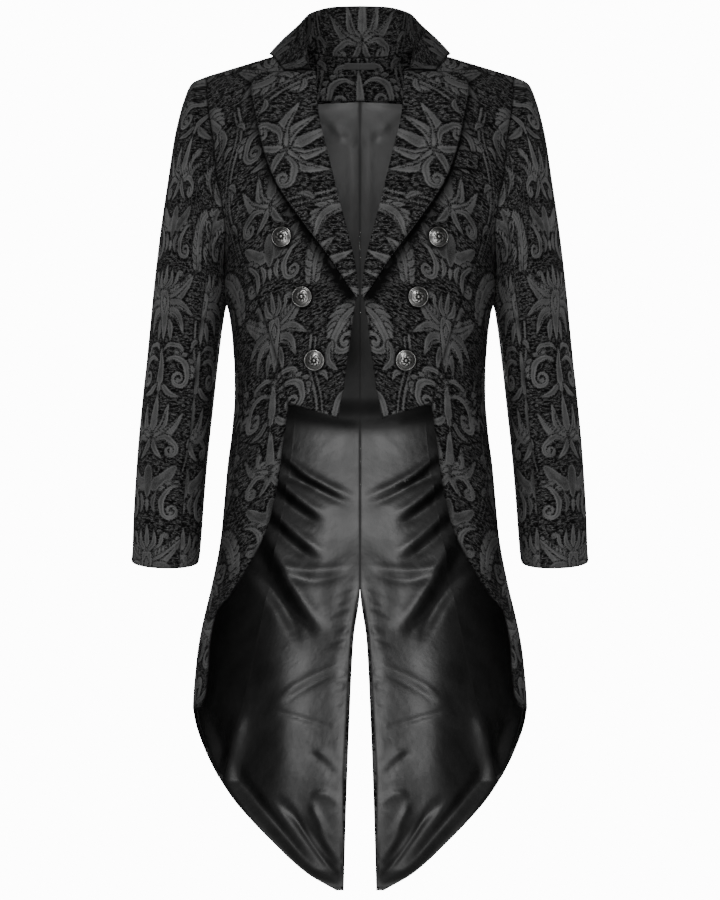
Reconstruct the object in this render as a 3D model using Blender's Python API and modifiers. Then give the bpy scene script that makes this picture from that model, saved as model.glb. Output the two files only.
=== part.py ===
"""A damask tailcoat, worn form with no wearer: waist-length fronts, cut-away skirts and pointed tails.

Units are metres. +Z is up, the front faces -Y and the wearer's left is at +X. The origin is midway
between the shoulders, at the height where the collar leaf meets the shoulder line.

Every panel lies on one body surface, which is found from an angle round the body (0 at the front centre,
pi at the back centre) and a drop below the sloping shoulder line.
"""
import math

import bmesh
import bpy
import numpy as np
from mathutils import Vector

# Driving dimensions.
CLOTH = 0.0016              # wall of the damask
COLLAR_CLOTH = 0.0018       # the collar has two layers
LINING = 0.0010             # wall of the satin
SEAM_GAP = 0.0004           # between two sewn edges
CENTRE_GAP = 0.0003         # from the centre seam to the plane between the two backs
SHOULDER_GAP = 0.0008       # from the shoulder seam to each panel's edge, where their walls lean together
PRINCESS_GAP = 0.00045      # from the princess seam to each panel's edge
ARMHOLE_GAP = 0.0007        # the sleeve head stands this far out of the armhole
GORGE_GAP = 0.0008          # between the collar's end and the lapel
SLEEVE_SEAM_GAP = 0.0005    # from the sleeve's seams to each piece's edge, where the walls lean together
LINING_EASE = 0.0012        # the lining hangs this far inside the cloth
FACING_EASE = 0.0015
SKIRT_EASE = 0.0007         # the skirt lining hangs a little further in still
HEM_MARGIN = 0.008          # damask turned in at the hem, clear of the lining
VENT_MARGIN = 0.006         # the same along the vent
SHOULDER_SLOPE = 0.30       # fall of the shoulder line for each metre out
SHOULDER_REF_X = 0.120      # the shoulder line is at height 0 here
SLOPE_DEPTH = 0.30          # the levels are flat below this drop
SECTION_POWER = 2.45        # 2 would be an ellipse
NECK_X = 0.078
ARMPIT_DROP = 0.262
PRINCESS_DROP = 0.200       # where the princess seam leaves the front armhole
BACK_SEAM_DROP = 0.150      # where the back seam leaves the back armhole
HEM_CORNER_DROP = 0.4513    # front hem meets the princess seam
HEM_JOIN_DROP = 0.951       # back seam meets the tail hem
BUTTON_RADIUS = 0.013
BUTTON_HEIGHT = 0.0085
BUTTON_SEGMENTS = 18
LAPEL_ROWS = 14
WELT_CLOTH = 0.0014
WELT_LIFT = 0.0022          # outer face of the welt above the front
VENT_TURN_ROWS = 7          # rows below the break where the lining starts to leave the vent's edge
BODY_AXIS_TOP = -0.060      # the shoulders face away from this height
LEAST_DROP = 0.0004         # normals are taken no nearer the shoulder line than this
MERGE = 0.00001             # points of the turned button on its axis are one
SEARCH_STEPS = 40           # halvings when a drop is searched for


def columns(names, rows):
    """A table with named columns, a row for each section."""
    return dict(zip(names.split(), np.array(rows, dtype=float).T))


# Body sections by drop below the shoulder line: the front and back depths are from the section's centre.
BODY = columns("drop half_width front back centre_y", [
    (0.000, 0.2000, 0.000, 0.000, 0.010),
    (0.010, 0.2030, 0.029, 0.038, 0.010),
    (0.042, 0.2085, 0.056, 0.073, 0.009),
    (0.093, 0.2090, 0.078, 0.097, 0.007),
    (0.155, 0.2020, 0.101, 0.110, 0.003),
    (0.210, 0.1900, 0.116, 0.116, 0.000),
    (0.262, 0.1755, 0.125, 0.113, 0.000),
    (0.316, 0.1715, 0.130, 0.106, 0.000),
    (0.368, 0.1645, 0.126, 0.097, 0.000),
    (0.420, 0.1620, 0.119, 0.092, 0.000),
    (0.472, 0.1645, 0.114, 0.096, 0.000),
    (0.576, 0.1760, 0.113, 0.114, 0.000),
    (0.680, 0.1925, 0.116, 0.128, 0.000),
    (0.784, 0.2120, 0.118, 0.137, 0.000),
    (0.850, 0.2168, 0.119, 0.141, 0.000),
    (0.950, 0.2150, 0.119, 0.144, 0.000),
    (1.120, 0.2110, 0.119, 0.145, 0.000),
])

# Edges that are read off the front or the back, as drop and distance from the centre line.
ROLL_LINE = columns("x z", [                # neck point, gorge, roll line, break, front edge, hem point
    (0.0780, 0.0126), (0.0745, 0.0010), (0.0680, -0.0125), (0.0605, -0.0245), (0.0570, -0.0748),
    (0.0435, -0.1371), (0.0303, -0.1925), (0.0183, -0.2392), (0.0097, -0.2761), (0.0042, -0.3200),
    (0.0105, -0.3599), (0.0139, -0.3899), (0.0180, -0.4138), (0.0207, -0.4364), (0.0279, -0.4712),
])
LAPEL_EDGE = columns("x z", [               # tip to break
    (0.1405, -0.0351), (0.1385, -0.0550), (0.1330, -0.0794), (0.1210, -0.1314), (0.1080, -0.1677),
    (0.0765, -0.2175), (0.0382, -0.2694), (0.0095, -0.3120),
])
LAPEL_ACROSS = columns("across lift past_edge top_rise", [     # rolled edge to outer edge
    (0.00, -0.0006, 0.0031, 0.0000), (0.00, 0.0026, 0.0037, 0.0000),
    (0.10, 0.0044, 0.0006, 0.0011), (0.28, 0.0044, 0.0000, 0.0030), (0.46, 0.0044, 0.0000, 0.0049),
    (0.63, 0.0040, 0.0000, 0.0066), (0.79, 0.0035, 0.0000, 0.0080), (1.00, 0.0031, 0.0000, 0.0000),
])
ARMHOLE_FRONT = columns("drop x", [
    (0.000, 0.2000), (0.050, 0.1960), (0.100, 0.1885), (0.141, 0.1850), (0.185, 0.1775),
    (0.225, 0.1730), (0.250, 0.1742), (0.262, 0.1755),
])
ARMHOLE_BACK = columns("drop x", [
    (0.000, 0.2000), (0.050, 0.1975), (0.100, 0.1910), (0.150, 0.1850), (0.200, 0.1780),
    (0.235, 0.1750), (0.253, 0.1752), (0.262, 0.1755),
])
NECK_BACK = columns("x drop", [(0.000, 0.0265), (0.030, 0.0185), (0.055, 0.0080), (0.078, 0.0000)])
PRINCESS_SEAM = columns("drop x", [
    (0.200, 0.1750), (0.240, 0.1580), (0.280, 0.1430), (0.320, 0.1290), (0.360, 0.1160),
    (0.400, 0.1040), (0.4513, 0.0905),
])
BACK_SEAM = columns("drop x", [
    (0.150, 0.1850), (0.200, 0.1560), (0.260, 0.1270), (0.340, 0.1000), (0.420, 0.0860),
    (0.500, 0.0920), (0.600, 0.1080), (0.700, 0.1280), (0.850, 0.1620), (0.951, 0.1848),
])
SKIRT_EDGE = columns("drop x", [            # cut-away edge down the front of the skirt
    (0.4513, 0.0905), (0.4995, 0.0972), (0.5451, 0.1033), (0.5971, 0.1141), (0.6225, 0.1234),
    (0.6687, 0.1489), (0.6971, 0.1675), (0.7209, 0.1857), (0.7484, 0.1919), (0.7950, 0.1954),
    (0.8232, 0.1985), (0.8400, 0.2060),
])
TAIL_HEM = columns("drop x", [              # from the side round to the tail tip, on the back
    (0.8500, 0.2178), (0.8654, 0.2158), (0.8945, 0.2090), (0.9230, 0.1985), (0.9510, 0.1848),
    (0.9790, 0.1675), (1.0069, 0.1452), (1.0346, 0.1199), (1.0623, 0.0918), (1.0870, 0.0610),
    (1.1040, 0.0320),
])
VENT_EDGE = columns("drop x", [
    (0.0265, 0.0000), (0.6961, 0.0000), (0.7662, 0.0087), (0.8742, 0.0141), (0.9820, 0.0182),
    (1.1077, 0.0220),
])

# Sleeve rings: the outer and inner lines in the front view, depth, centre and forward tilt.
SLEEVE = columns("outer_x outer_z inner_x inner_z half_depth centre_y tilt", [
    (0.2003, -0.0235, 0.1758, -0.2625, 0.060, 0.002, 0.000),
    (0.2190, -0.0330, 0.1758, -0.2710, 0.067, 0.003, 0.000),
    (0.2300, -0.0570, 0.1760, -0.2800, 0.071, 0.004, 0.000),
    (0.2385, -0.0930, 0.1760, -0.2900, 0.074, 0.005, 0.000),
    (0.2480, -0.1480, 0.1760, -0.3020, 0.075, 0.007, 0.000),
    (0.2580, -0.2140, 0.1762, -0.3230, 0.074, 0.009, 0.000),
    (0.2675, -0.2900, 0.1815, -0.3620, 0.071, 0.011, 0.001),
    (0.2745, -0.3600, 0.1865, -0.4050, 0.068, 0.012, 0.002),
    (0.2815, -0.4350, 0.1915, -0.4580, 0.064, 0.010, 0.003),
    (0.2895, -0.5200, 0.1985, -0.5300, 0.059, 0.004, 0.004),
    (0.2948, -0.6000, 0.2050, -0.6050, 0.055, -0.005, 0.006),
    (0.2962, -0.6530, 0.2087, -0.6560, 0.052, -0.013, 0.008),
])
SLEEVE_AXIS = columns("x z", [(0.205, -0.120), (0.222, -0.330), (0.254, -0.660)])
SLEEVE_ROWS = 12
UPPER_COLS, UNDER_COLS = 12, 7
SLEEVE_ROW_GROWTH = 1.1     # the rows lie closer together at the sleeve head
SLEEVE_BLEND = 0.34         # share of the length over which the rings leave the armhole's own outline
SLEEVE_POWER = 2.2
SLEEVE_SEAM = math.radians(118)

# Collar, from the centre back to the gorge: the fold, and the leaf's edge over the shoulder.
COLLAR = columns("fold_x fold_y fold_z leaf_x leaf_y leaf_lift", [
    (0.0000, 0.0800, 0.0780, 0.0000, 0.0880, 0.0045),
    (0.0320, 0.0765, 0.0765, 0.0420, 0.0850, 0.0045),
    (0.0550, 0.0620, 0.0700, 0.0800, 0.0730, 0.0045),
    (0.0690, 0.0360, 0.0590, 0.1040, 0.0440, 0.0045),
    (0.0720, 0.0100, 0.0420, 0.1170, 0.0100, 0.0050),
    (0.0700, -0.0130, 0.0180, 0.1085, -0.0180, 0.0050),
    (0.0640, -0.0360, -0.0130, 0.0974, -0.0350, 0.0044),
])
COLLAR_STATIONS = 11
STAND_LIFT = 0.0009         # the stand's lower edge above the neck edge
COLLAR_FLAT_FROM = 0.70     # from here to the gorge the fold opens out flat
COLLAR_ROLL = 0.0045        # radius of the fold
# The leaf bows out from the straight line down to its edge, by this many rolls.
FALL = columns("down bow", [(0.0, -0.1), (0.10, 1.0), (0.40, 1.7), (0.72, 1.0)])
COLLAR_END = columns("across lift", [       # along the gorge, with the same points as a profile
    (0.00, 0.0034), (0.07, 0.0044), (0.16, 0.0050), (0.28, 0.0052),
    (0.42, 0.0050), (0.60, 0.0048), (0.80, 0.0046), (1.00, 0.0044),
])
NOTCH = (0.0974, -0.0245)   # where the collar's end meets the lapel's top edge

# Button centres on the fronts, with the shank's foot above the body surface: the cloth's flat faces cut
# a little under that surface, and each foot lies about 0.3 mm off them. Then the welt and the label.
BUTTONS = columns("x z seat", [
    (0.0979, -0.2420, 0.0002), (0.0725, -0.3179, -0.0003), (0.0569, -0.3972, 0.0005),
])
BUTTON_PROFILE = columns("radius height", [     # dome, groove, raised rim, back and shank
    (0.000, 1.00), (0.400, 0.96), (0.720, 0.80), (0.840, 0.72), (0.900, 0.80), (0.985, 0.74),
    (1.000, 0.60), (0.900, 0.42), (0.340, 0.34), (0.240, 0.00), (0.000, 0.00),
])
WELT = columns("x z", [(0.1240, -0.1283), (0.1538, -0.1310), (0.1500, -0.1550), (0.1172, -0.1520)])
FACING_TOP_X, FACING_BOTTOM_X = 0.066, 0.092
FACING_EDGE_Z = -0.0461
FACING_ROWS = (0.0, 0.12, 0.30, 0.60, 1.0)
FACING_COLS = 12
LABEL_HALF_WIDTH = 0.0215
LABEL_HEIGHTS = (0.0040, -0.0045)
LABEL_EASE = 0.0012
LABEL_CLOTH = 0.0006


def smooth(xs, ys):
    """A cubic through the points that never overshoots them."""
    xs, ys = np.asarray(xs, float), np.asarray(ys, float)
    step = np.diff(xs)
    slope = np.diff(ys) / step
    tangent = np.zeros_like(ys)
    tangent[0], tangent[-1] = slope[0], slope[-1]
    for i in range(1, len(xs) - 1):
        if slope[i - 1] * slope[i] > 0:
            before, after = 2 * step[i] + step[i - 1], step[i] + 2 * step[i - 1]
            tangent[i] = (before + after) / (before / slope[i - 1] + after / slope[i])

    def at(x):
        x = min(max(x, xs[0]), xs[-1])
        i = min(int(np.searchsorted(xs, x, side="right")) - 1, len(step) - 1)
        s = (x - xs[i]) / step[i]
        return ((1 + 2 * s) * (1 - s) ** 2 * ys[i] + s * (1 - s) ** 2 * step[i] * tangent[i]
                + s * s * (3 - 2 * s) * ys[i + 1] - s * s * (1 - s) * step[i] * tangent[i + 1])

    return at


def by_root(column):
    """A body column against the root of the drop, so that the shoulders round off."""
    return smooth(np.sqrt(BODY["drop"]), BODY[column])


HALF_WIDTH, FRONT, BACK, CENTRE_Y = (by_root(c) for c in ("half_width", "front", "back", "centre_y"))


def level_slope(drop):
    """The levels slope as the shoulders do at the top, and are flat from the armpits down."""
    s = min(max(drop / SLOPE_DEPTH, 0.0), 1.0)
    return SHOULDER_SLOPE * (1 - s * s * (3 - 2 * s))


def bare_point(angle, drop):
    """A point of the body surface, at +X."""
    root = math.sqrt(max(drop, 0.0))
    half_width = HALF_WIDTH(root)
    across, along = math.sin(angle), math.cos(angle)
    radius = (abs(across) ** SECTION_POWER + abs(along) ** SECTION_POWER) ** (-1 / SECTION_POWER)
    x = half_width * radius * across
    depth = FRONT(root) if along > 0 else BACK(root)
    y = CENTRE_Y(root) - depth * radius * along
    return np.array([x, y, -drop - level_slope(drop) * (abs(x) - SHOULDER_REF_X)])


def body_normal(angle, drop):
    drop = max(drop, LEAST_DROP)
    step_angle, step_drop = 0.004, min(0.0008, 0.4 * drop)
    round_body = bare_point(angle + step_angle, drop) - bare_point(angle - step_angle, drop)
    down_body = bare_point(angle, drop + step_drop) - bare_point(angle, drop - step_drop)
    normal = np.cross(down_body, round_body)
    return normal / np.linalg.norm(normal)


def body_point(angle, drop, lift=0.0):
    """A point of the body surface, moved out along its normal by lift."""
    point = bare_point(angle, drop)
    return point + lift * body_normal(angle, drop) if lift else point


def angle_at(x, drop, back=False):
    """The angle where the section at this drop is x from the centre line."""
    share = min(abs(x) / HALF_WIDTH(math.sqrt(max(drop, 0.0))), 1.0)
    rest = (1 - share ** SECTION_POWER) ** (1 / SECTION_POWER)
    angle = math.atan2(share, rest)
    return math.pi - angle if back else angle


def drop_at(x, z):
    """The drop whose level passes through x and z."""
    low, high = 0.0, 1.3
    for _ in range(SEARCH_STEPS):
        middle = (low + high) / 2
        if -middle - level_slope(middle) * (abs(x) - SHOULDER_REF_X) > z:
            low = middle
        else:
            high = middle
    return (low + high) / 2


def on_front(x, z):
    drop = drop_at(x, z)
    return np.array([angle_at(x, drop), drop])


def drop_under(x, y):
    """The drop where the surface passes below a point of the shoulder."""
    low, high = 0.0, 0.3
    for _ in range(SEARCH_STEPS):
        middle = (low + high) / 2
        root = math.sqrt(middle)
        share = min(abs(x) / HALF_WIDTH(root), 1.0)
        rest = (1 - share ** SECTION_POWER) ** (1 / SECTION_POWER)
        reach = FRONT(root) if y < CENTRE_Y(root) else BACK(root)
        if reach * rest < abs(y - CENTRE_Y(root)):
            low = middle
        else:
            high = middle
    return (low + high) / 2


def spread(start, stop, count):
    return list(np.linspace(start, stop, count + 1))


def patch(left, right, top=None, bottom=None, cols=8):
    """Rows between two edges, bowed to a shaped top or bottom edge that fades with distance."""
    rows = len(left)
    grid = np.zeros((rows, cols + 1, 2))
    for j in range(rows):
        v = j / (rows - 1)
        for i in range(cols + 1):
            u = i / cols
            point = (1 - u) * left[j] + u * right[j]
            if top is not None:
                point = point + (1 - v) ** 4 * (top[i] - (1 - u) * top[0] - u * top[-1])
            if bottom is not None:
                point = point + v ** 4 * (bottom[i] - (1 - u) * bottom[0] - u * bottom[-1])
            grid[j, i] = point
    return grid


def lay(grid, lift=0.0):
    """Points in space for a grid of angles and drops."""
    return np.array([[body_point(angle, drop, lift) for angle, drop in row] for row in grid])


def draw_in(points, left=0.0, right=0.0, top=0.0, bottom=0.0):
    """Moves the outer rows and columns in by these lengths."""
    points = points.copy()

    def pull(edge, inner, length):
        way = inner - edge
        run = np.gradient(edge, axis=0)
        run /= np.maximum(np.linalg.norm(run, axis=1, keepdims=True), 1e-9)
        square = way - run * np.sum(way * run, axis=1, keepdims=True)
        size = np.linalg.norm(square, axis=1, keepdims=True)
        return edge + way * np.minimum(length / np.maximum(size, 1e-9), 0.8)

    points[:, 0] = pull(points[:, 0], points[:, 1], left)
    points[:, -1] = pull(points[:, -1], points[:, -2], right)
    points[0] = pull(points[0], points[1], top)
    points[-1] = pull(points[-1], points[-2], bottom)
    return points


# Materials and objects.
def material(name, colour, roughness, metallic=0.0):
    made = bpy.data.materials.new(name)
    made.use_nodes = True
    shader = made.node_tree.nodes["Principled BSDF"]
    shader.inputs["Base Color"].default_value = (*colour, 1.0)
    shader.inputs["Roughness"].default_value = roughness
    shader.inputs["Metallic"].default_value = metallic
    return made


def add_object(name, mesh, finish):
    made = bpy.data.objects.new(name, mesh)
    made.data.materials.append(finish)
    COAT.objects.link(made)
    return made


def cloth(name, points, thickness, inside, finish, even=True):
    """A shell from a grid of points; its wall grows towards the side where `inside` lies."""
    rows, cols = points.shape[:2]
    bm = bmesh.new()
    bmesh.ops.create_grid(bm, x_segments=cols - 1, y_segments=rows - 1, size=1.0)
    for vert in bm.verts:
        i = round((vert.co.x + 1) / 2 * (cols - 1))
        j = round((vert.co.y + 1) / 2 * (rows - 1))
        vert.co = Vector(points[j, i])
    bmesh.ops.triangulate(bm, faces=bm.faces, quad_method="FIXED")
    bm.normal_update()
    facing = sum(face.normal.dot(face.calc_center_median() - inside(face.calc_center_median()))
                 * face.calc_area() for face in bm.faces)
    if facing < 0:
        bmesh.ops.reverse_faces(bm, faces=bm.faces)
    mesh = bpy.data.meshes.new(name)
    bm.to_mesh(mesh)
    bm.free()
    mesh.shade_smooth()
    made = add_object(name, mesh, finish)
    wall = made.modifiers.new("wall", "SOLIDIFY")
    wall.thickness = thickness
    wall.offset = -1.0
    wall.use_even_offset = even
    wall.use_quality_normals = True
    return made


def body_axis(point):
    return Vector((0.0, 0.0, min(point.z, BODY_AXIS_TOP)))


def mirrored(points):
    return points * np.array([-1.0, 1.0, 1.0])


def pair(name, points, thickness, inside, finish):
    """The wearer's left piece and its mirror image."""
    def inside_right(point):
        seen = inside(Vector((-point.x, point.y, point.z)))
        return Vector((-seen.x, seen.y, seen.z))

    cloth(name + "_l", points, thickness, inside, finish)
    cloth(name + "_r", mirrored(points), thickness, inside_right, finish)


# Shared rows, so that two panels have the same points along their seam.
SHOULDER_ROWS = [0.0, 0.0015]
ARMHOLE_FRONT_ROWS = SHOULDER_ROWS + [0.012, 0.042, 0.080, 0.120, 0.160, PRINCESS_DROP]
NECK_FRONT_ROWS = SHOULDER_ROWS + [0.012, 0.042]
PRINCESS_ROWS = spread(PRINCESS_DROP, HEM_CORNER_DROP, 7)
SKIRT_ROWS = [0.495, 0.540, 0.585, 0.6225, 0.668, 0.708, 0.748, 0.792, 0.825, 0.843,
              0.856, 0.874, 0.905, 0.944]
ARMHOLE_BACK_ROWS = SHOULDER_ROWS + [0.005, 0.010, 0.016, 0.0225, 0.031, 0.080, BACK_SEAM_DROP]
BACK_NECK_ROWS = [(NECK_X, 0.0), (0.0735, 0.0015), (0.055, 0.0080), (0.030, 0.0185), (0.0, 0.0265),
                  (0.0, 0.0480), (0.0, 0.0770), (0.0, 0.1150), (0.0, 0.1560)]
STITCHED_ROW = 6            # the neck facing ends at this row of the back
BODY_STEPS = ([0, 4, 7], np.arange(1, 8))
BACK_BODY_ROWS = list(np.interp(BODY_STEPS[1], BODY_STEPS[0], [BACK_SEAM_DROP, 0.330, HEM_CORNER_DROP]))
CENTRE_BODY_ROWS = list(np.interp(BODY_STEPS[1], BODY_STEPS[0], [0.1560, 0.330, HEM_CORNER_DROP]))
TIP_ROWS = [0.979, 1.0069, 1.0346, 1.0623, 1.0870, 1.1040]
FRONT_COLS, SIDE_COLS, BACK_COLS = 9, 7, 7

armhole_front = smooth(ARMHOLE_FRONT["drop"], ARMHOLE_FRONT["x"])
armhole_back = smooth(ARMHOLE_BACK["drop"], ARMHOLE_BACK["x"])
princess_seam = smooth(PRINCESS_SEAM["drop"], PRINCESS_SEAM["x"])
back_seam = smooth(BACK_SEAM["drop"], BACK_SEAM["x"])
skirt_edge = smooth(
    list(SKIRT_EDGE["drop"]) + list(TAIL_HEM["drop"]),
    [angle_at(x, drop) for drop, x in zip(SKIRT_EDGE["drop"], SKIRT_EDGE["x"])]
    + [angle_at(x, drop, back=True) for drop, x in zip(TAIL_HEM["drop"], TAIL_HEM["x"])])
vent_edge = smooth(VENT_EDGE["drop"], VENT_EDGE["x"])


def armhole_front_at(drop):
    return np.array([angle_at(armhole_front(drop), drop), drop])


def armhole_back_at(drop):
    return np.array([angle_at(armhole_back(drop), drop, back=True), drop])


def princess_at(drop):
    return np.array([angle_at(princess_seam(drop), drop), drop])


def back_seam_at(drop):
    return np.array([angle_at(back_seam(drop), drop, back=True), drop])


def skirt_edge_at(drop):
    return np.array([skirt_edge(drop), drop])


def centre_back_at(x, drop):
    return np.array([angle_at(x, drop, back=True), drop])


def front_grid():
    """Neck, roll line and front edge on the inner side; armhole and princess seam on the outer."""
    outer = [armhole_front_at(d) for d in ARMHOLE_FRONT_ROWS] + [princess_at(d) for d in PRINCESS_ROWS[1:]]
    line = np.array([on_front(x, z) for x, z in zip(ROLL_LINE["x"], ROLL_LINE["z"])])
    line[0] = (angle_at(NECK_X, 0.0), 0.0)
    length = np.concatenate([[0], np.cumsum(np.hypot(np.diff(ROLL_LINE["x"]), np.diff(ROLL_LINE["z"])))])
    along = [np.interp(drop, line[:4, 1], length[:4]) for drop in NECK_FRONT_ROWS]
    along += spread(along[-1], length[-1], len(outer) - len(along))[1:]
    inner = [np.array([np.interp(s, length, line[:, 0]), np.interp(s, length, line[:, 1])]) for s in along]
    return patch(inner, outer, cols=FRONT_COLS)


def armhole_under(cols):
    """The lower armhole from the princess seam round under the arm to the back seam."""
    front = [armhole_front_at(d) for d in np.linspace(PRINCESS_DROP, ARMPIT_DROP, 30)]
    back = [armhole_back_at(d) for d in np.linspace(ARMPIT_DROP, BACK_SEAM_DROP, 50)]
    line = np.array(front + back[1:])
    space = np.array([bare_point(a, d) for a, d in line])
    length = np.concatenate([[0], np.cumsum(np.linalg.norm(np.diff(space, axis=0), axis=1))])
    return [np.array([np.interp(s, length, line[:, 0]), np.interp(s, length, line[:, 1])])
            for s in np.linspace(0, length[-1], cols + 1)]


def side_grid():
    """Princess seam and cut-away edge in front, back seam behind, armhole on top."""
    front = [princess_at(d) for d in PRINCESS_ROWS] + [skirt_edge_at(d) for d in SKIRT_ROWS]
    back = [back_seam_at(BACK_SEAM_DROP)] + [back_seam_at(d) for d in BACK_BODY_ROWS]
    back += [back_seam_at(d) for d in SKIRT_ROWS[:-1]] + [back_seam_at(HEM_JOIN_DROP)]
    return patch(front, back, top=armhole_under(SIDE_COLS), cols=SIDE_COLS)


def back_grid():
    """Centre seam and vent on the inner side; armhole, back seam and tail hem on the outer."""
    inner = [centre_back_at(x, d) for x, d in BACK_NECK_ROWS]
    inner += [centre_back_at(0.0, d) for d in CENTRE_BODY_ROWS]
    inner += [centre_back_at(vent_edge(d), d) for d in SKIRT_ROWS[:-1] + [HEM_JOIN_DROP] + TIP_ROWS]
    outer = [armhole_back_at(d) for d in ARMHOLE_BACK_ROWS]
    outer += [back_seam_at(d) for d in BACK_BODY_ROWS + SKIRT_ROWS[:-1] + [HEM_JOIN_DROP]]
    outer += [skirt_edge_at(d) for d in TIP_ROWS]
    return patch(inner, outer, cols=BACK_COLS)


def seamed(points, top=SEAM_GAP / 2, left=SEAM_GAP / 2, right=SEAM_GAP / 2):
    return draw_in(points, left, right, top, SEAM_GAP / 2)


def build_body(damask):
    pair("front", seamed(lay(front_grid()), SHOULDER_GAP, right=PRINCESS_GAP), CLOTH, body_axis, damask)
    pair("side", seamed(lay(side_grid()), left=PRINCESS_GAP), CLOTH, body_axis, damask)
    pair("back", seamed(lay(back_grid()), SHOULDER_GAP, CENTRE_GAP), CLOTH, body_axis, damask)


def build_lining(satin):
    inward = -(CLOTH + LINING_EASE)
    half = SEAM_GAP / 2
    back = lay(back_grid(), inward)
    first = STITCHED_ROW
    lining = draw_in(back[first:], CENTRE_GAP, half, half, HEM_MARGIN)
    rows = len(lining)
    tail_start = len(BACK_NECK_ROWS) + len(CENTRE_BODY_ROWS) - first
    hem_start = rows - len(TIP_ROWS) - 1
    wide = draw_in(back[first:], VENT_MARGIN, HEM_MARGIN, half, HEM_MARGIN)
    for j in range(tail_start + VENT_TURN_ROWS, rows):
        lining[j, 0] = wide[j, 0]
    for j in range(hem_start + 1, rows):
        lining[j, -1] = wide[j, -1]
    corner, above = lining[hem_start, -1], lining[hem_start - 1, -1]
    lining[hem_start, -1] = corner + (above - corner) * HEM_MARGIN / np.linalg.norm(above - corner)
    pair("lining_back", lining, LINING, body_axis, satin)

    side = lay(side_grid(), inward - SKIRT_EASE)[len(PRINCESS_ROWS) - 1:]
    skirt = draw_in(side, HEM_MARGIN, half, half, HEM_MARGIN)
    pair("lining_side", skirt, LINING, body_axis, satin)


def build_facing(damask):
    """One piece across the back neck, from the neck seam down to a straight stitched edge."""
    neck_drop = smooth(NECK_BACK["x"], NECK_BACK["drop"])
    inward = -(CLOTH + FACING_EASE)
    rows = []
    for v in FACING_ROWS:
        row = []
        for side in spread(-1, 1, FACING_COLS):
            top_x, bottom_x = abs(side) * FACING_TOP_X, abs(side) * FACING_BOTTOM_X
            x = (1 - v) * top_x + v * bottom_x
            drop = (1 - v) * neck_drop(top_x) + v * drop_at(bottom_x, FACING_EDGE_Z)
            row.append(body_point(angle_at(x, drop, back=True), drop, inward) * [1 if side > 0 else -1, 1, 1])
        rows.append(row)
    cloth("neck_facing", draw_in(np.array(rows), top=SEAM_GAP, bottom=SEAM_GAP), CLOTH, body_axis, damask)


def armhole_loop():
    """Points all round the armhole, from the shoulder down the front and up the back, and their angles."""
    drops = ARMPIT_DROP * np.linspace(0, 1, 120) ** 1.5
    front = np.array([body_point(*armhole_front_at(d)) for d in drops])
    back = np.array([body_point(*armhole_back_at(d)) for d in drops])
    front[:, 0] += ARMHOLE_GAP
    back[:, 0] += ARMHOLE_GAP

    def along(line):
        length = np.concatenate([[0], np.cumsum(np.linalg.norm(np.diff(line, axis=0), axis=1))])
        return length / length[-1]

    front_share, back_share = along(front), along(back)

    def at(turn):
        turn = turn % (2 * math.pi)
        line, share = (front, front_share) if turn <= math.pi else (back, back_share)
        where = turn / math.pi if turn <= math.pi else (2 * math.pi - turn) / math.pi
        return np.array([np.interp(where, share, line[:, k]) for k in range(3)])

    return at


def sleeve_surface():
    """A function of the turn round the sleeve and the share of its length."""
    place = np.linspace(0, 1, len(SLEEVE["outer_x"]))
    column = {name: smooth(place, values) for name, values in SLEEVE.items()}
    loop = armhole_loop()

    def ring(turn, share):
        outer = np.array([column["outer_x"](share), 0, column["outer_z"](share)])
        inner = np.array([column["inner_x"](share), 0, column["inner_z"](share)])
        centre = (outer + inner) / 2 + np.array([0, column["centre_y"](share), 0])
        forward = np.array([0, -column["half_depth"](share), -column["tilt"](share)])
        across, along = math.cos(turn), math.sin(turn)
        radius = (abs(across) ** SLEEVE_POWER + abs(along) ** SLEEVE_POWER) ** (-1 / SLEEVE_POWER)
        return centre + radius * (across * (outer - inner) / 2 + along * forward)

    def at(turn, share):
        fade = max(1 - share / SLEEVE_BLEND, 0.0) ** 2
        return ring(turn, share) + fade * (loop(turn) - ring(turn, 0.0))

    return at


def build_sleeves(damask):
    at = sleeve_surface()
    shares = np.linspace(0, 1, SLEEVE_ROWS + 1) ** SLEEVE_ROW_GROWTH

    def strip(first, last, cols):
        return np.array([[at(turn, share) for turn in np.linspace(first, last, cols + 1)]
                         for share in shares])

    def sleeve_axis(point):
        z = min(max(point.z, SLEEVE_AXIS["z"][-1]), SLEEVE_AXIS["z"][0])
        return Vector((np.interp(-z, -SLEEVE_AXIS["z"], SLEEVE_AXIS["x"]), 0.0, z))

    upper = strip(-SLEEVE_SEAM, SLEEVE_SEAM, UPPER_COLS)
    under = strip(SLEEVE_SEAM, 2 * math.pi - SLEEVE_SEAM, UNDER_COLS)
    for piece, name in ((upper, "sleeve_upper"), (under, "sleeve_under")):
        pair(name, draw_in(piece, SLEEVE_SEAM_GAP, SLEEVE_SEAM_GAP), CLOTH, sleeve_axis, damask)


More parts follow.
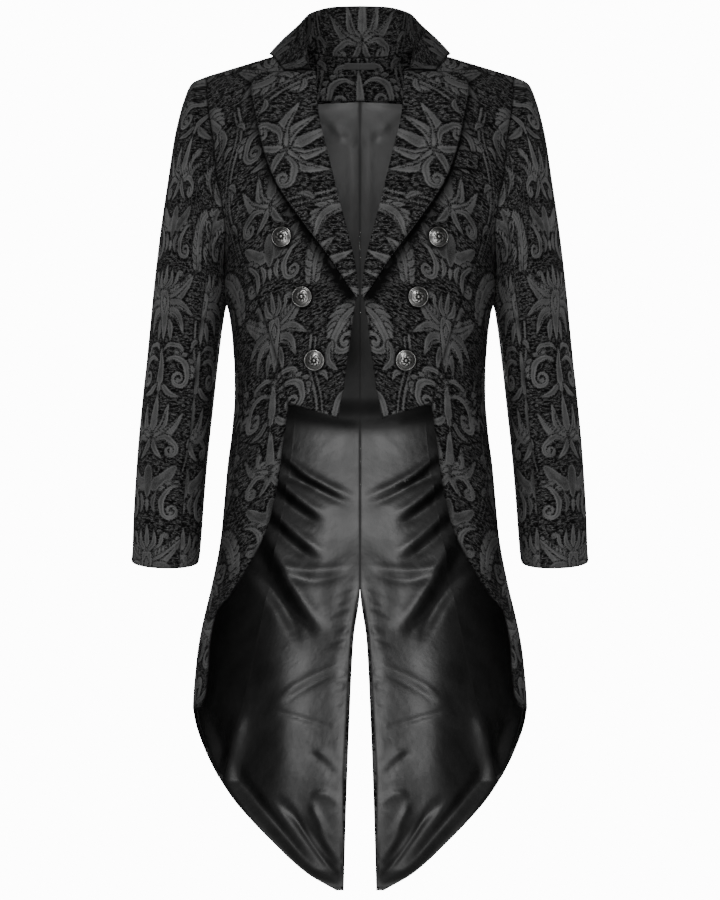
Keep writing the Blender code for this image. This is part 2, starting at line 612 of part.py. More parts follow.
def collar_rail():
    """The neck edge, fold and leaf edge at each station from the centre back to the gorge."""
    stations = np.linspace(0, 1, len(COLLAR["fold_x"]))
    table = {name: smooth(stations, values) for name, values in COLLAR.items()}
    neck = [(x, d, True) for x, d in zip(NECK_BACK["x"], NECK_BACK["drop"])]
    front = [(x, drop_at(x, z), False) for x, z in zip(ROLL_LINE["x"][1:4], ROLL_LINE["z"][1:4])]
    line = []
    for x, drop, back in neck + front:
        angle = angle_at(x, drop, back)
        line.append(body_point(angle, drop, 0.0) + body_normal(angle, max(drop, 0.002)) * STAND_LIFT)
    line = np.array(line)
    length = np.concatenate([[0], np.cumsum(np.linalg.norm(np.diff(line, axis=0), axis=1))])
    neck_line = [smooth(length / length[-1], line[:, k]) for k in range(3)]
    rails = []
    for share in np.linspace(0, 1, COLLAR_STATIONS + 1):
        seam = np.array([axis(share) for axis in neck_line])
        fold = np.array([table["fold_" + k](share) for k in "xyz"])
        leaf_x, leaf_y = table["leaf_x"](share), table["leaf_y"](share)
        drop = drop_under(leaf_x, leaf_y)
        angle = angle_at(leaf_x, drop, back=leaf_y > CENTRE_Y(math.sqrt(drop)))
        leaf = body_point(angle, drop, table["leaf_lift"](share))
        rails.append((share, seam, fold, leaf))
    return rails


def gorge_profile():
    """The collar's end, along the gorge seam from the roll line to the notch."""
    start = np.array([ROLL_LINE["x"][3], ROLL_LINE["z"][3]])
    return np.array([body_point(*on_front(*((1 - u) * start + u * np.array(NOTCH) + [0, GORGE_GAP])), up)
                     for u, up in zip(COLLAR_END["across"], COLLAR_END["lift"])])


def collar_profile(seam, fold, leaf):
    """Up the stand, over the fold and down the leaf."""
    stand, fall = fold - seam, leaf - fold
    out = fall - stand * np.dot(fall, stand) / max(np.dot(stand, stand), 1e-9)
    out = out / max(np.linalg.norm(out), 1e-9)
    roll = min(COLLAR_ROLL, 0.25 * np.linalg.norm(stand))
    up = stand / max(np.linalg.norm(stand), 1e-9)
    below = fold - up * roll * 2.2 - out * roll * 0.4
    over = [fold + fall * down + out * roll * bow for down, bow in zip(FALL["down"], FALL["bow"])]
    return [seam, (seam + below) / 2, below, *over, leaf]


def build_collar(damask):
    end = gorge_profile()
    half = []
    for share, *rail in collar_rail():
        flat = min(max((share - COLLAR_FLAT_FROM) / (1 - COLLAR_FLAT_FROM), 0.0), 1.0) ** 2
        profile = np.array(collar_profile(*rail))
        half.append((1 - flat) * profile + flat * (end + (1 - flat) * (profile - end)))
    half = np.array(half)
    points = np.concatenate([mirrored(half[:0:-1]), half])

    def between_layers(point):
        return Vector((0.0, 0.02, -0.60))

    cloth("collar", points, COLLAR_CLOTH, between_layers, damask, even=False)


def lapel_points():
    """From the roll line to the outer edge, lifted off the front with a rolled inner edge."""
    shares = np.linspace(0, 1, LAPEL_ROWS + 1)
    roll_x, roll_z = ROLL_LINE["x"][3:10], ROLL_LINE["z"][3:10]
    edge_x, edge_z = LAPEL_EDGE["x"], LAPEL_EDGE["z"]

    def line(xs, zs):
        length = np.concatenate([[0], np.cumsum(np.hypot(np.diff(xs), np.diff(zs)))])
        return smooth(length / length[-1], xs), smooth(length / length[-1], zs)

    (rx, rz), (ex, ez) = line(roll_x, roll_z), line(edge_x, edge_z)
    rows = []
    for share in shares:
        row = []
        for u, up, past, rise in zip(*LAPEL_ACROSS.values()):
            x = (1 - u) * rx(share) + u * ex(share) - past
            z = (1 - u) * rz(share) + u * ez(share) + rise * (1 - share) ** 4 - SEAM_GAP * (1 - share)
            row.append(body_point(*on_front(x, z), up))
        rows.append(row)
    return np.array(rows)


def build_lapels(damask):
    pair("lapel", lapel_points(), CLOTH, body_axis, damask)


def build_trim(damask, woven):
    """The breast welt on the wearer's left, and the bare label inside the neck."""
    corners = [np.array([x, z]) for x, z in zip(WELT["x"], WELT["z"])]
    top, bottom = (corners[0], corners[1]), (corners[3], corners[2])
    rows = [[(1 - v) * ((1 - u) * top[0] + u * top[1]) + v * ((1 - u) * bottom[0] + u * bottom[1])
             for u in spread(0, 1, 5)] for v in spread(0, 1, 3)]
    welt = np.array([[body_point(*on_front(*place), WELT_LIFT) for place in row] for row in rows])
    cloth("breast_welt", welt, WELT_CLOTH, body_axis, damask)

    inward = -(CLOTH + FACING_EASE + CLOTH + LABEL_EASE)
    label = np.array([[body_point(angle_at(x, drop_at(x, z), back=True), drop_at(x, z), inward)
                       * [1 if x >= 0 else -1, 1, 1] for x in spread(-LABEL_HALF_WIDTH, LABEL_HALF_WIDTH, 6)]
                      for z in spread(*LABEL_HEIGHTS, 2)])

    def behind(point):
        return Vector((0.0, 0.30, point.z))

    cloth("label", label, LABEL_CLOTH, behind, woven)


def build_buttons(silver):
    """Domed shank buttons with a raised rim: a profile turned about its axis."""
    profile = list(zip(BUTTON_PROFILE["radius"] * BUTTON_RADIUS, BUTTON_PROFILE["height"] * BUTTON_HEIGHT))
    mesh = bpy.data.meshes.new("button")
    mesh.from_pydata([(x, 0, z) for x, z in profile], [(i, i + 1) for i in range(len(profile) - 1)], [])
    for side, sign in (("l", 1), ("r", -1)):
        for number, (x, z, foot) in enumerate(zip(*BUTTONS.values()), start=1):
            angle, drop = on_front(x, z)
            seat = body_point(angle, drop, foot) * [sign, 1, 1]
            normal = Vector(body_normal(angle, drop) * [sign, 1, 1])
            button = add_object(f"button_{side}{number}", mesh, silver)
            button.location = Vector(seat)
            button.rotation_euler = normal.to_track_quat("Z", "Y").to_euler()
            turn = button.modifiers.new("turned", "SCREW")
            turn.steps = turn.render_steps = BUTTON_SEGMENTS
            turn.use_merge_vertices = True
            turn.merge_threshold = MERGE
            turn.use_normal_calculate = True


for old in list(bpy.data.objects):
    bpy.data.objects.remove(old)
COAT = bpy.data.collections.new("tailcoat")
bpy.context.scene.collection.children.link(COAT)
DAMASK = material("damask", (0.018, 0.018, 0.019), 0.62)
SATIN = material("satin", (0.022, 0.022, 0.024), 0.28)
SILVER = material("antique silver", (0.30, 0.29, 0.28), 0.38, 1.0)
WOVEN = material("label cloth", (0.02, 0.02, 0.02), 0.7)

build_body(DAMASK)
build_lining(SATIN)
build_facing(DAMASK)
build_sleeves(DAMASK)
build_collar(DAMASK)
build_lapels(DAMASK)
build_trim(DAMASK, WOVEN)
build_buttons(SILVER)
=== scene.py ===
# %% [markdown]
# # A damask tailcoat
# A black tailcoat, worn form with no wearer. Its cloth is a jacquard damask with smooth motifs on a
# crinkled ground, and it is lined with satin. The frame gives the coat's solids; each of them is
# dressed here with a finer sheet on the same form.

# %% The frame
import math

import bmesh
import bpy
import numpy as np
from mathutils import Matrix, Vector


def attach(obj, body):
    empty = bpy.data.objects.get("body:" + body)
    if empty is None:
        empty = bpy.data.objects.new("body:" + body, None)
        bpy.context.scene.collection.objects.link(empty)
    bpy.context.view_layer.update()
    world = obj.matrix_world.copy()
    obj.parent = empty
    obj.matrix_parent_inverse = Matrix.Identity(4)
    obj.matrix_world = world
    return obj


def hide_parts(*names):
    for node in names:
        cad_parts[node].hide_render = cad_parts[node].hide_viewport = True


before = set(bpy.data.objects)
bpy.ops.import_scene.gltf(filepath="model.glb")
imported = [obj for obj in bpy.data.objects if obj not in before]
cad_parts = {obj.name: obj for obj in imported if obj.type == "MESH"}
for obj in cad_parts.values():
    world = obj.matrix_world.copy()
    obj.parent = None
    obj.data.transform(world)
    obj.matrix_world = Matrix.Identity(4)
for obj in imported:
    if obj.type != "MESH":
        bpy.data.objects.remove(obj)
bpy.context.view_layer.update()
print("nodes:", len(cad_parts))

# %% [markdown]
# ## Sizes
# Lengths are in metres: +Z is up, the front faces -Y and the wearer's left is at +X. The origin lies
# midway between the shoulders. The tables repeat the coat's own sections and edges, so every sheet
# lies where its solid does.

# %% Tables of the body
def columns(names, rows):
    return dict(zip(names.split(), np.array(rows, dtype=float).T))


CLOTH, COLLAR_CLOTH, LINING = 0.0016, 0.0018, 0.0010
SHOULDER_SLOPE, SHOULDER_REF_X, SLOPE_DEPTH = 0.30, 0.120, 0.30
SECTION_POWER = 2.45
PRINCESS_DROP, BACK_SEAM_DROP, ARMPIT_DROP = 0.200, 0.150, 0.262
HEM_CORNER_DROP, HEM_JOIN_DROP = 0.4513, 0.951

BODY = columns("drop half_width front back centre_y", [
    (0.000, 0.2000, 0.000, 0.000, 0.010), (0.010, 0.2030, 0.029, 0.038, 0.010),
    (0.042, 0.2085, 0.056, 0.073, 0.009), (0.093, 0.2090, 0.078, 0.097, 0.007),
    (0.155, 0.2020, 0.101, 0.110, 0.003), (0.210, 0.1900, 0.116, 0.116, 0.000),
    (0.262, 0.1755, 0.125, 0.113, 0.000), (0.316, 0.1715, 0.130, 0.106, 0.000),
    (0.368, 0.1645, 0.126, 0.097, 0.000), (0.420, 0.1620, 0.119, 0.092, 0.000),
    (0.472, 0.1645, 0.114, 0.096, 0.000), (0.576, 0.1760, 0.113, 0.114, 0.000),
    (0.680, 0.1925, 0.116, 0.128, 0.000), (0.784, 0.2120, 0.118, 0.137, 0.000),
    (0.850, 0.2168, 0.119, 0.141, 0.000), (0.950, 0.2150, 0.119, 0.144, 0.000),
    (1.120, 0.2110, 0.119, 0.145, 0.000),
])
ROLL_LINE = columns("x z", [                # neck point, gorge, roll line, break, front edge, hem point
    (0.0780, 0.0126), (0.0745, 0.0010), (0.0680, -0.0125), (0.0605, -0.0245), (0.0570, -0.0748),
    (0.0435, -0.1371), (0.0303, -0.1925), (0.0183, -0.2392), (0.0097, -0.2761), (0.0042, -0.3200),
    (0.0105, -0.3599), (0.0139, -0.3899), (0.0180, -0.4138), (0.0207, -0.4364), (0.0279, -0.4712),
])
LAPEL_EDGE = columns("x z", [
    (0.1405, -0.0351), (0.1385, -0.0550), (0.1330, -0.0794), (0.1210, -0.1314), (0.1080, -0.1677),
    (0.0765, -0.2175), (0.0382, -0.2694), (0.0095, -0.3120),
])
LAPEL_ACROSS = columns("across lift past_edge top_rise", [
    (0.00, -0.0006, 0.0031, 0.0000), (0.00, 0.0026, 0.0037, 0.0000),
    (0.10, 0.0044, 0.0006, 0.0011), (0.28, 0.0044, 0.0000, 0.0030), (0.46, 0.0044, 0.0000, 0.0049),
    (0.63, 0.0040, 0.0000, 0.0066), (0.79, 0.0035, 0.0000, 0.0080), (1.00, 0.0031, 0.0000, 0.0000),
])
ARMHOLE_FRONT = columns("drop x", [
    (0.000, 0.2000), (0.050, 0.1960), (0.100, 0.1885), (0.141, 0.1850), (0.185, 0.1775),
    (0.225, 0.1730), (0.250, 0.1742), (0.262, 0.1755),
])
ARMHOLE_BACK = columns("drop x", [
    (0.000, 0.2000), (0.050, 0.1975), (0.100, 0.1910), (0.150, 0.1850), (0.200, 0.1780),
    (0.235, 0.1750), (0.253, 0.1752), (0.262, 0.1755),
])
NECK_BACK = columns("x drop", [(0.000, 0.0265), (0.030, 0.0185), (0.055, 0.0080), (0.078, 0.0000)])
PRINCESS_SEAM = columns("drop x", [
    (0.200, 0.1750), (0.240, 0.1580), (0.280, 0.1430), (0.320, 0.1290), (0.360, 0.1160),
    (0.400, 0.1040), (0.4513, 0.0905),
])
BACK_SEAM = columns("drop x", [
    (0.150, 0.1850), (0.200, 0.1560), (0.260, 0.1270), (0.340, 0.1000), (0.420, 0.0860),
    (0.500, 0.0920), (0.600, 0.1080), (0.700, 0.1280), (0.850, 0.1620), (0.951, 0.1848),
])
SKIRT_EDGE = columns("drop x", [
    (0.4513, 0.0905), (0.4995, 0.0972), (0.5451, 0.1033), (0.5971, 0.1141), (0.6225, 0.1234),
    (0.6687, 0.1489), (0.6971, 0.1675), (0.7209, 0.1857), (0.7484, 0.1919), (0.7950, 0.1954),
    (0.8232, 0.1985), (0.8400, 0.2060),
])
TAIL_HEM = columns("drop x", [
    (0.8500, 0.2178), (0.8654, 0.2158), (0.8945, 0.2090), (0.9230, 0.1985), (0.9510, 0.1848),
    (0.9790, 0.1675), (1.0069, 0.1452), (1.0346, 0.1199), (1.0623, 0.0918), (1.0870, 0.0610),
    (1.1040, 0.0320),
])
VENT_EDGE = columns("drop x", [
    (0.0265, 0.0000), (0.6961, 0.0000), (0.7662, 0.0087), (0.8742, 0.0141), (0.9820, 0.0182),
    (1.1077, 0.0220),
])
print("body sections:", len(BODY["drop"]))

# %% Tables of the sleeve and collar
SLEEVE = columns("outer_x outer_z inner_x inner_z half_depth centre_y tilt", [
    (0.2003, -0.0235, 0.1758, -0.2625, 0.060, 0.002, 0.000),
    (0.2190, -0.0330, 0.1758, -0.2710, 0.067, 0.003, 0.000),
    (0.2300, -0.0570, 0.1760, -0.2800, 0.071, 0.004, 0.000),
    (0.2385, -0.0930, 0.1760, -0.2900, 0.074, 0.005, 0.000),
    (0.2480, -0.1480, 0.1760, -0.3020, 0.075, 0.007, 0.000),
    (0.2580, -0.2140, 0.1762, -0.3230, 0.074, 0.009, 0.000),
    (0.2675, -0.2900, 0.1815, -0.3620, 0.071, 0.011, 0.001),
    (0.2745, -0.3600, 0.1865, -0.4050, 0.068, 0.012, 0.002),
    (0.2815, -0.4350, 0.1915, -0.4580, 0.064, 0.010, 0.003),
    (0.2895, -0.5200, 0.1985, -0.5300, 0.059, 0.004, 0.004),
    (0.2948, -0.6000, 0.2050, -0.6050, 0.055, -0.005, 0.006),
    (0.2962, -0.6530, 0.2087, -0.6560, 0.052, -0.013, 0.008),
])
ARMHOLE_GAP = 0.0003
SLEEVE_BLEND, SLEEVE_POWER, SLEEVE_SEAM = 0.34, 2.2, math.radians(118)
COLLAR = columns("fold_x fold_y fold_z leaf_x leaf_y leaf_lift", [
    (0.0000, 0.0800, 0.0780, 0.0000, 0.0880, 0.0045),
    (0.0320, 0.0765, 0.0765, 0.0420, 0.0850, 0.0045),
    (0.0550, 0.0620, 0.0700, 0.0800, 0.0730, 0.0045),
    (0.0690, 0.0360, 0.0590, 0.1040, 0.0440, 0.0045),
    (0.0720, 0.0100, 0.0420, 0.1170, 0.0100, 0.0050),
    (0.0700, -0.0130, 0.0180, 0.1085, -0.0180, 0.0050),
    (0.0640, -0.0360, -0.0130, 0.0974, -0.0350, 0.0044),
])
STAND_LIFT, COLLAR_FLAT_FROM, COLLAR_ROLL, GORGE_GAP = 0.0009, 0.70, 0.0045, 0.0008
FALL = columns("down bow", [(0.0, -0.1), (0.10, 1.0), (0.40, 1.7), (0.72, 1.0)])
COLLAR_END = columns("across lift", [
    (0.00, 0.0034), (0.07, 0.0044), (0.16, 0.0050), (0.28, 0.0052),
    (0.42, 0.0050), (0.60, 0.0048), (0.80, 0.0046), (1.00, 0.0044),
])
NOTCH = (0.0974, -0.0245)
BUTTONS = columns("x z seat", [
    (0.0979, -0.2420, 0.0002), (0.0725, -0.3179, -0.0003), (0.0569, -0.3972, 0.0005),
])
WELT = columns("x z", [(0.1240, -0.1283), (0.1538, -0.1310), (0.1500, -0.1550), (0.1172, -0.1520)])
print("sleeve rings:", len(SLEEVE["outer_x"]), "collar stations:", len(COLLAR["fold_x"]))

# %% [markdown]
# ## One surface for the whole body
# A tailor drapes every panel on the same figure. Here the figure is a function of an angle round the
# body (0 at the front centre, pi at the back centre) and a drop below the sloping shoulder line. The
# panels are patches of it, so they meet at their seams by themselves. Sculpting or simulating each
# panel would not keep their edges together.

# %% Easing, lengths and ovals
def eased(t):
    """Rises smoothly from 0 to 1 as t does, and stays there outside."""
    t = np.clip(t, 0, 1)
    return t * t * (3 - 2 * t)


def bell(distance, width):
    """1 where the distance is 0, and almost 0 at two widths from there."""
    return np.exp(-(distance / width) ** 2)


def unit(vectors):
    return vectors / np.maximum(np.linalg.norm(vectors, axis=-1, keepdims=True), 1e-12)


def run_along(points, axis=0):
    """Length from the first point of a line to each of its points, or so for each line of a grid."""
    steps = np.linalg.norm(np.diff(points, axis=axis), axis=-1)
    return np.pad(np.cumsum(steps, axis=axis), [(int(k == axis), 0) for k in range(steps.ndim)])


def at_length(lengths, run, line):
    """Points of a line at lengths along it, where `run` is the length at its own points."""
    return np.stack([np.interp(lengths, run, values) for values in line.T], -1)


def oval_radius(across, along, power):
    """Radius of an oval a little fuller than an ellipse, in the direction (across, along)."""
    return (np.abs(across) ** power + np.abs(along) ** power) ** (-1 / power)


print("half way up:", eased(0.5), "one width away:", round(float(bell(1.0, 1.0)), 3))


# %% A cubic through table values
def smooth(xs, ys):
    """A cubic through the points that never overshoots them; it takes arrays."""
    xs, ys = np.asarray(xs, float), np.asarray(ys, float)
    step = np.diff(xs)
    slope = np.diff(ys) / step
    tangent = np.zeros_like(ys)
    tangent[0], tangent[-1] = slope[0], slope[-1]
    for i in range(1, len(xs) - 1):
        if slope[i - 1] * slope[i] > 0:
            before, after = 2 * step[i] + step[i - 1], step[i] + 2 * step[i - 1]
            tangent[i] = (before + after) / (before / slope[i - 1] + after / slope[i])

    def at(x):
        x = np.clip(x, xs[0], xs[-1])
        i = np.clip(np.searchsorted(xs, x, side="right") - 1, 0, len(step) - 1)
        s = (x - xs[i]) / step[i]
        return ((1 + 2 * s) * (1 - s) ** 2 * ys[i] + s * (1 - s) ** 2 * step[i] * tangent[i]
                + s * s * (3 - 2 * s) * ys[i + 1] - s * s * (1 - s) * step[i] * tangent[i + 1])

    return at


HALF_WIDTH, FRONT, BACK, CENTRE_Y = (
    smooth(np.sqrt(BODY["drop"]), BODY[name]) for name in ("half_width", "front", "back", "centre_y"))
print("chest width:", round(2 * float(HALF_WIDTH(math.sqrt(0.262))), 3))


# %% The body surface
LEAST_DROP, NORMAL_STEP, NORMAL_TURN = 0.0004, 0.0008, 0.004       # for measuring the surface's normal


def level_slope(drop):
    return SHOULDER_SLOPE * (1 - eased(drop / SLOPE_DEPTH))


def bare_point(angle, drop):
    """Points of the body surface at +X, for arrays of angles and drops."""
    angle, drop = np.broadcast_arrays(np.asarray(angle, float), np.asarray(drop, float))
    root = np.sqrt(np.maximum(drop, 0))
    across, along = np.sin(angle), np.cos(angle)
    radius = oval_radius(across, along, SECTION_POWER)
    x = HALF_WIDTH(root) * radius * across
    y = CENTRE_Y(root) - np.where(along > 0, FRONT(root), BACK(root)) * radius * along
    return np.stack([x, y, -drop - level_slope(drop) * (np.abs(x) - SHOULDER_REF_X)], -1)


def body_normal(angle, drop):
    angle, drop = np.broadcast_arrays(np.asarray(angle, float), np.maximum(drop, LEAST_DROP))
    step = np.minimum(NORMAL_STEP, 0.4 * drop)
    round_body = bare_point(angle + NORMAL_TURN, drop) - bare_point(angle - NORMAL_TURN, drop)
    down_body = bare_point(angle, drop + step) - bare_point(angle, drop - step)
    return unit(np.cross(down_body, round_body))


def body_point(angle, drop, lift=0.0):
    return bare_point(angle, drop) + np.asarray(lift)[..., None] * body_normal(angle, drop)


# %% From places in the front view to the surface
HALVINGS, DEEPEST, DEEPEST_COLLAR = 34, 1.3, 0.3


def oval_depth(share):
    """How deep a section is at a share of its half width."""
    return (1 - share ** SECTION_POWER) ** (1 / SECTION_POWER)


def angle_at(x, drop, back=False):
    share = np.minimum(np.abs(x) / HALF_WIDTH(np.sqrt(np.maximum(drop, 0))), 1)
    angle = np.arctan2(share, oval_depth(share))
    return np.pi - angle if back else angle


def search(low, high, below):
    """Halves the way between low and high until the answer is found, for arrays."""
    for _ in range(HALVINGS):
        middle = (low + high) / 2
        under = below(middle)
        low, high = np.where(under, middle, low), np.where(under, high, middle)
    return (low + high) / 2


def drop_at(x, z):
    """The drop at which the surface passes a place in the front view."""
    x, z = np.broadcast_arrays(np.asarray(x, float), np.asarray(z, float))
    return search(np.zeros(x.shape), np.full(x.shape, DEEPEST),
                  lambda d: -d - level_slope(d) * (np.abs(x) - SHOULDER_REF_X) > z)


def on_front(x, z, back=False):
    drop = drop_at(x, z)
    return angle_at(x, drop, back), drop


def drop_under(x, y):
    """The drop at which the surface passes under a place seen from above."""
    def below(drop):
        root = np.sqrt(drop)
        share = np.minimum(abs(x) / HALF_WIDTH(root), 1)
        reach = np.where(y < CENTRE_Y(root), FRONT(root), BACK(root))
        return reach * oval_depth(share) < abs(y - CENTRE_Y(root))
    return float(search(np.zeros(()), np.full((), DEEPEST_COLLAR), below))


print("chest centre:", bare_point(0.0, 0.2).round(3))

# %% [markdown]
# ## Damask, drawn once
# A jacquard loom weaves the motif into the cloth, so a pattern repeats down and across it. This repeat
# is drawn as half a tile, mirrored about both of its upright edges: leaves, scrolls and stems are
# tapered strokes, laid one over another with a dark outline. The tile keeps a signed distance to the
# motif's edge and not a picture, so an edge stays sharp wherever a vertex of the cloth reads it. An
# image texture would blur, and hundreds of shader nodes would be slow.

# %% Strokes of the motif
TILE_HALF, TILE_HIGH = 130, 335             # millimetres
EDGE_REACH = 14                             # strokes this near an upright edge are mirrored over it
OUTLINE, GROUND = 2.2, -6.0                 # width of the dark gap, and the distance where there is no motif


def through(points, count=26):
    """A smooth line through a few points."""
    points = np.asarray(points, float)
    padded = np.vstack([2 * points[0] - points[1], points, 2 * points[-1] - points[-2]])
    where = np.linspace(0, len(points) - 1, count)
    i = np.minimum(where.astype(int), len(points) - 2)
    t = (where - i)[:, None]
    a, b, c, d = padded[i], padded[i + 1], padded[i + 2], padded[i + 3]
    return 0.5 * (2 * b + (c - a) * t + (2 * a - 5 * b + 4 * c - d) * t**2 + (3 * b - a - 3 * c + d) * t**3)


def left_of(direction):
    return np.array([-direction[1], direction[0]])


class Tile:
    """Distance to the motif's edge, the phase of its thread lines and each stroke's tone."""

    def __init__(self):
        self.field = np.full((TILE_HIGH, TILE_HALF + 1), GROUND)
        self.streak = np.zeros_like(self.field)
        self.tone = np.full_like(self.field, 0.5)

    def stamp(self, line, width, gap=OUTLINE, hatch=5.0, lean=0.0, tone=0.5):
        """Lays a stroke, and its mirror image or the repeat's next one where it reaches them."""
        line, width = np.asarray(line, float), np.asarray(width, float)
        copies = [line]
        if line[:, 0].min() < EDGE_REACH:
            copies.append(line * [-1, 1])
        if line[:, 0].max() > TILE_HALF - EDGE_REACH:
            copies.append(line * [-1, 1] + [2 * TILE_HALF, 0])
        for copy in copies:
            for shift in (-TILE_HIGH, 0, TILE_HIGH):
                self.lay(copy + [0, shift], width, gap, hatch, lean, tone)

    def lay(self, line, width, gap, hatch, lean, tone):
        """Writes one stroke into the part of the tile that it can reach."""
        reach = np.abs(width).max() + abs(gap) + 2
        x0, y0 = np.maximum(np.floor(line.min(0) - reach), 0).astype(int)
        x1, y1 = np.minimum(np.ceil(line.max(0) + reach) + 1, (TILE_HALF + 1, TILE_HIGH)).astype(int)
        if x0 >= x1 or y0 >= y1:
            return
        x, y = np.meshgrid(np.arange(x0, x1), np.arange(y0, y1))
        run = np.diff(line, axis=0)
        length = np.maximum(np.hypot(*run.T), 1e-6)
        dx, dy = x[..., None] - line[:-1, 0], y[..., None] - line[:-1, 1]
        t = np.clip((dx * run[:, 0] + dy * run[:, 1]) / length**2, 0, 1)
        inside = (1 - t) * width[:-1] + t * width[1:] - np.hypot(dx - t * run[:, 0], dy - t * run[:, 1])
        best = inside.argmax(-1)[..., None]

        def pick(values):
            return np.take_along_axis(values, best, -1)[..., 0]

        d, side = pick(inside), pick((dx * run[:, 1] - dy * run[:, 0]) / length)
        box = (slice(y0, y1), slice(x0, x1))
        if hatch is None:                   # a vein is cut into what is there
            self.field[box] = np.minimum(self.field[box], -d)
            return
        along = pick(np.concatenate([[0], np.cumsum(length)[:-1]]) + t * length)
        self.field[box] = np.maximum(np.minimum(self.field[box], -(d + gap)), d)
        mine = d > -gap / 2
        self.streak[box] = np.where(mine, (side + lean * along) / hatch + 0.5, self.streak[box])
        self.tone[box] = np.where(mine, tone, self.tone[box])

    def leaf(self, points, width, tip=0.9, **look):
        """Swells from its foot and runs out to a point."""
        s = np.linspace(0, 1, 26)
        shape = (s + 0.03) ** 0.55 * (1 - s) ** tip
        self.stamp(through(points), width * shape / shape.max(), **look)

    def vein(self, points, width=0.85):
        """A thin groove that tapers at both ends."""
        line = through(points, 20)
        self.stamp(line, width * np.sin(np.pi * np.linspace(0.05, 0.95, 20)) ** 0.5, hatch=None, gap=1.0)

    def stem(self, points, start, end, **look):
        self.stamp(through(points, 40), np.linspace(start, end, 40), **look)

    def crest(self, points, width, radius, turns, side, **look):
        """A ribbon that swells along its points and winds up in a curl with a round end."""
        run = through(points, 36)
        d = unit(run[-1] - run[-3])
        n = left_of(d) * side
        t = np.linspace(0, 1, 34)[1:]
        r, a = radius * (1 - 0.78 * t ** 0.8), t * turns * 2 * math.pi * side
        centre = run[-1] + n * radius
        c, s = np.cos(a), np.sin(a)
        curl = centre + r[:, None] * np.stack([-n[0] * c + n[1] * s, -n[1] * c - n[0] * s], 1)
        line = np.concatenate([run, curl])
        u = np.linspace(0, 1, len(line))
        swell = np.interp(u, [0, 0.08, 0.36, 0.6, 0.93, 1.0], [0.08, 0.4, 1.0, 0.62, 0.30, 0.66])
        self.stamp(line, width * swell, **look)

    def fringe(self, points, size, count, side, width, sweep, **look):
        """Pointed lobes on one side of a line; `sweep` leans them along it."""
        spine, start, stop = through(points, 60), 0.05, 0.95
        for k in range(count):
            s = start + (stop - start) * k / (count - 1)
            i = int(s * 56) + 1
            d = unit(spine[i + 2] - spine[i - 1])
            n = left_of(d) * side
            long = size * math.sin(math.pi * (0.18 + 0.70 * s)) ** 0.8
            foot = spine[i] - n * width * 0.3
            tip = foot + (n + sweep * d) * long
            self.leaf([foot, foot + (n * 0.62 + sweep * d * 0.25) * long, tip], width, **look)

    def palmette(self, x, y, heading, spread, count, length, width, curl, **look):
        """Pointed fingers from one place, the outer ones shorter, the middle one on top."""
        for k in sorted(np.linspace(-1, 1, count), key=lambda k: -abs(k)):
            a = math.radians(heading + k * spread / 2)
            size = length * (1 - 0.42 * abs(k) ** 1.3)
            d = np.array([math.cos(a), math.sin(a)])
            n, foot = left_of(d), np.array([x, y]) + d * length * 0.06
            tip = foot + d * size * 0.92 + n * size * curl * k
            self.leaf([foot, foot + d * size * 0.5 - n * size * curl * k * 0.35, tip],
                      width * (1 - 0.3 * abs(k)), tip=0.6, **look)


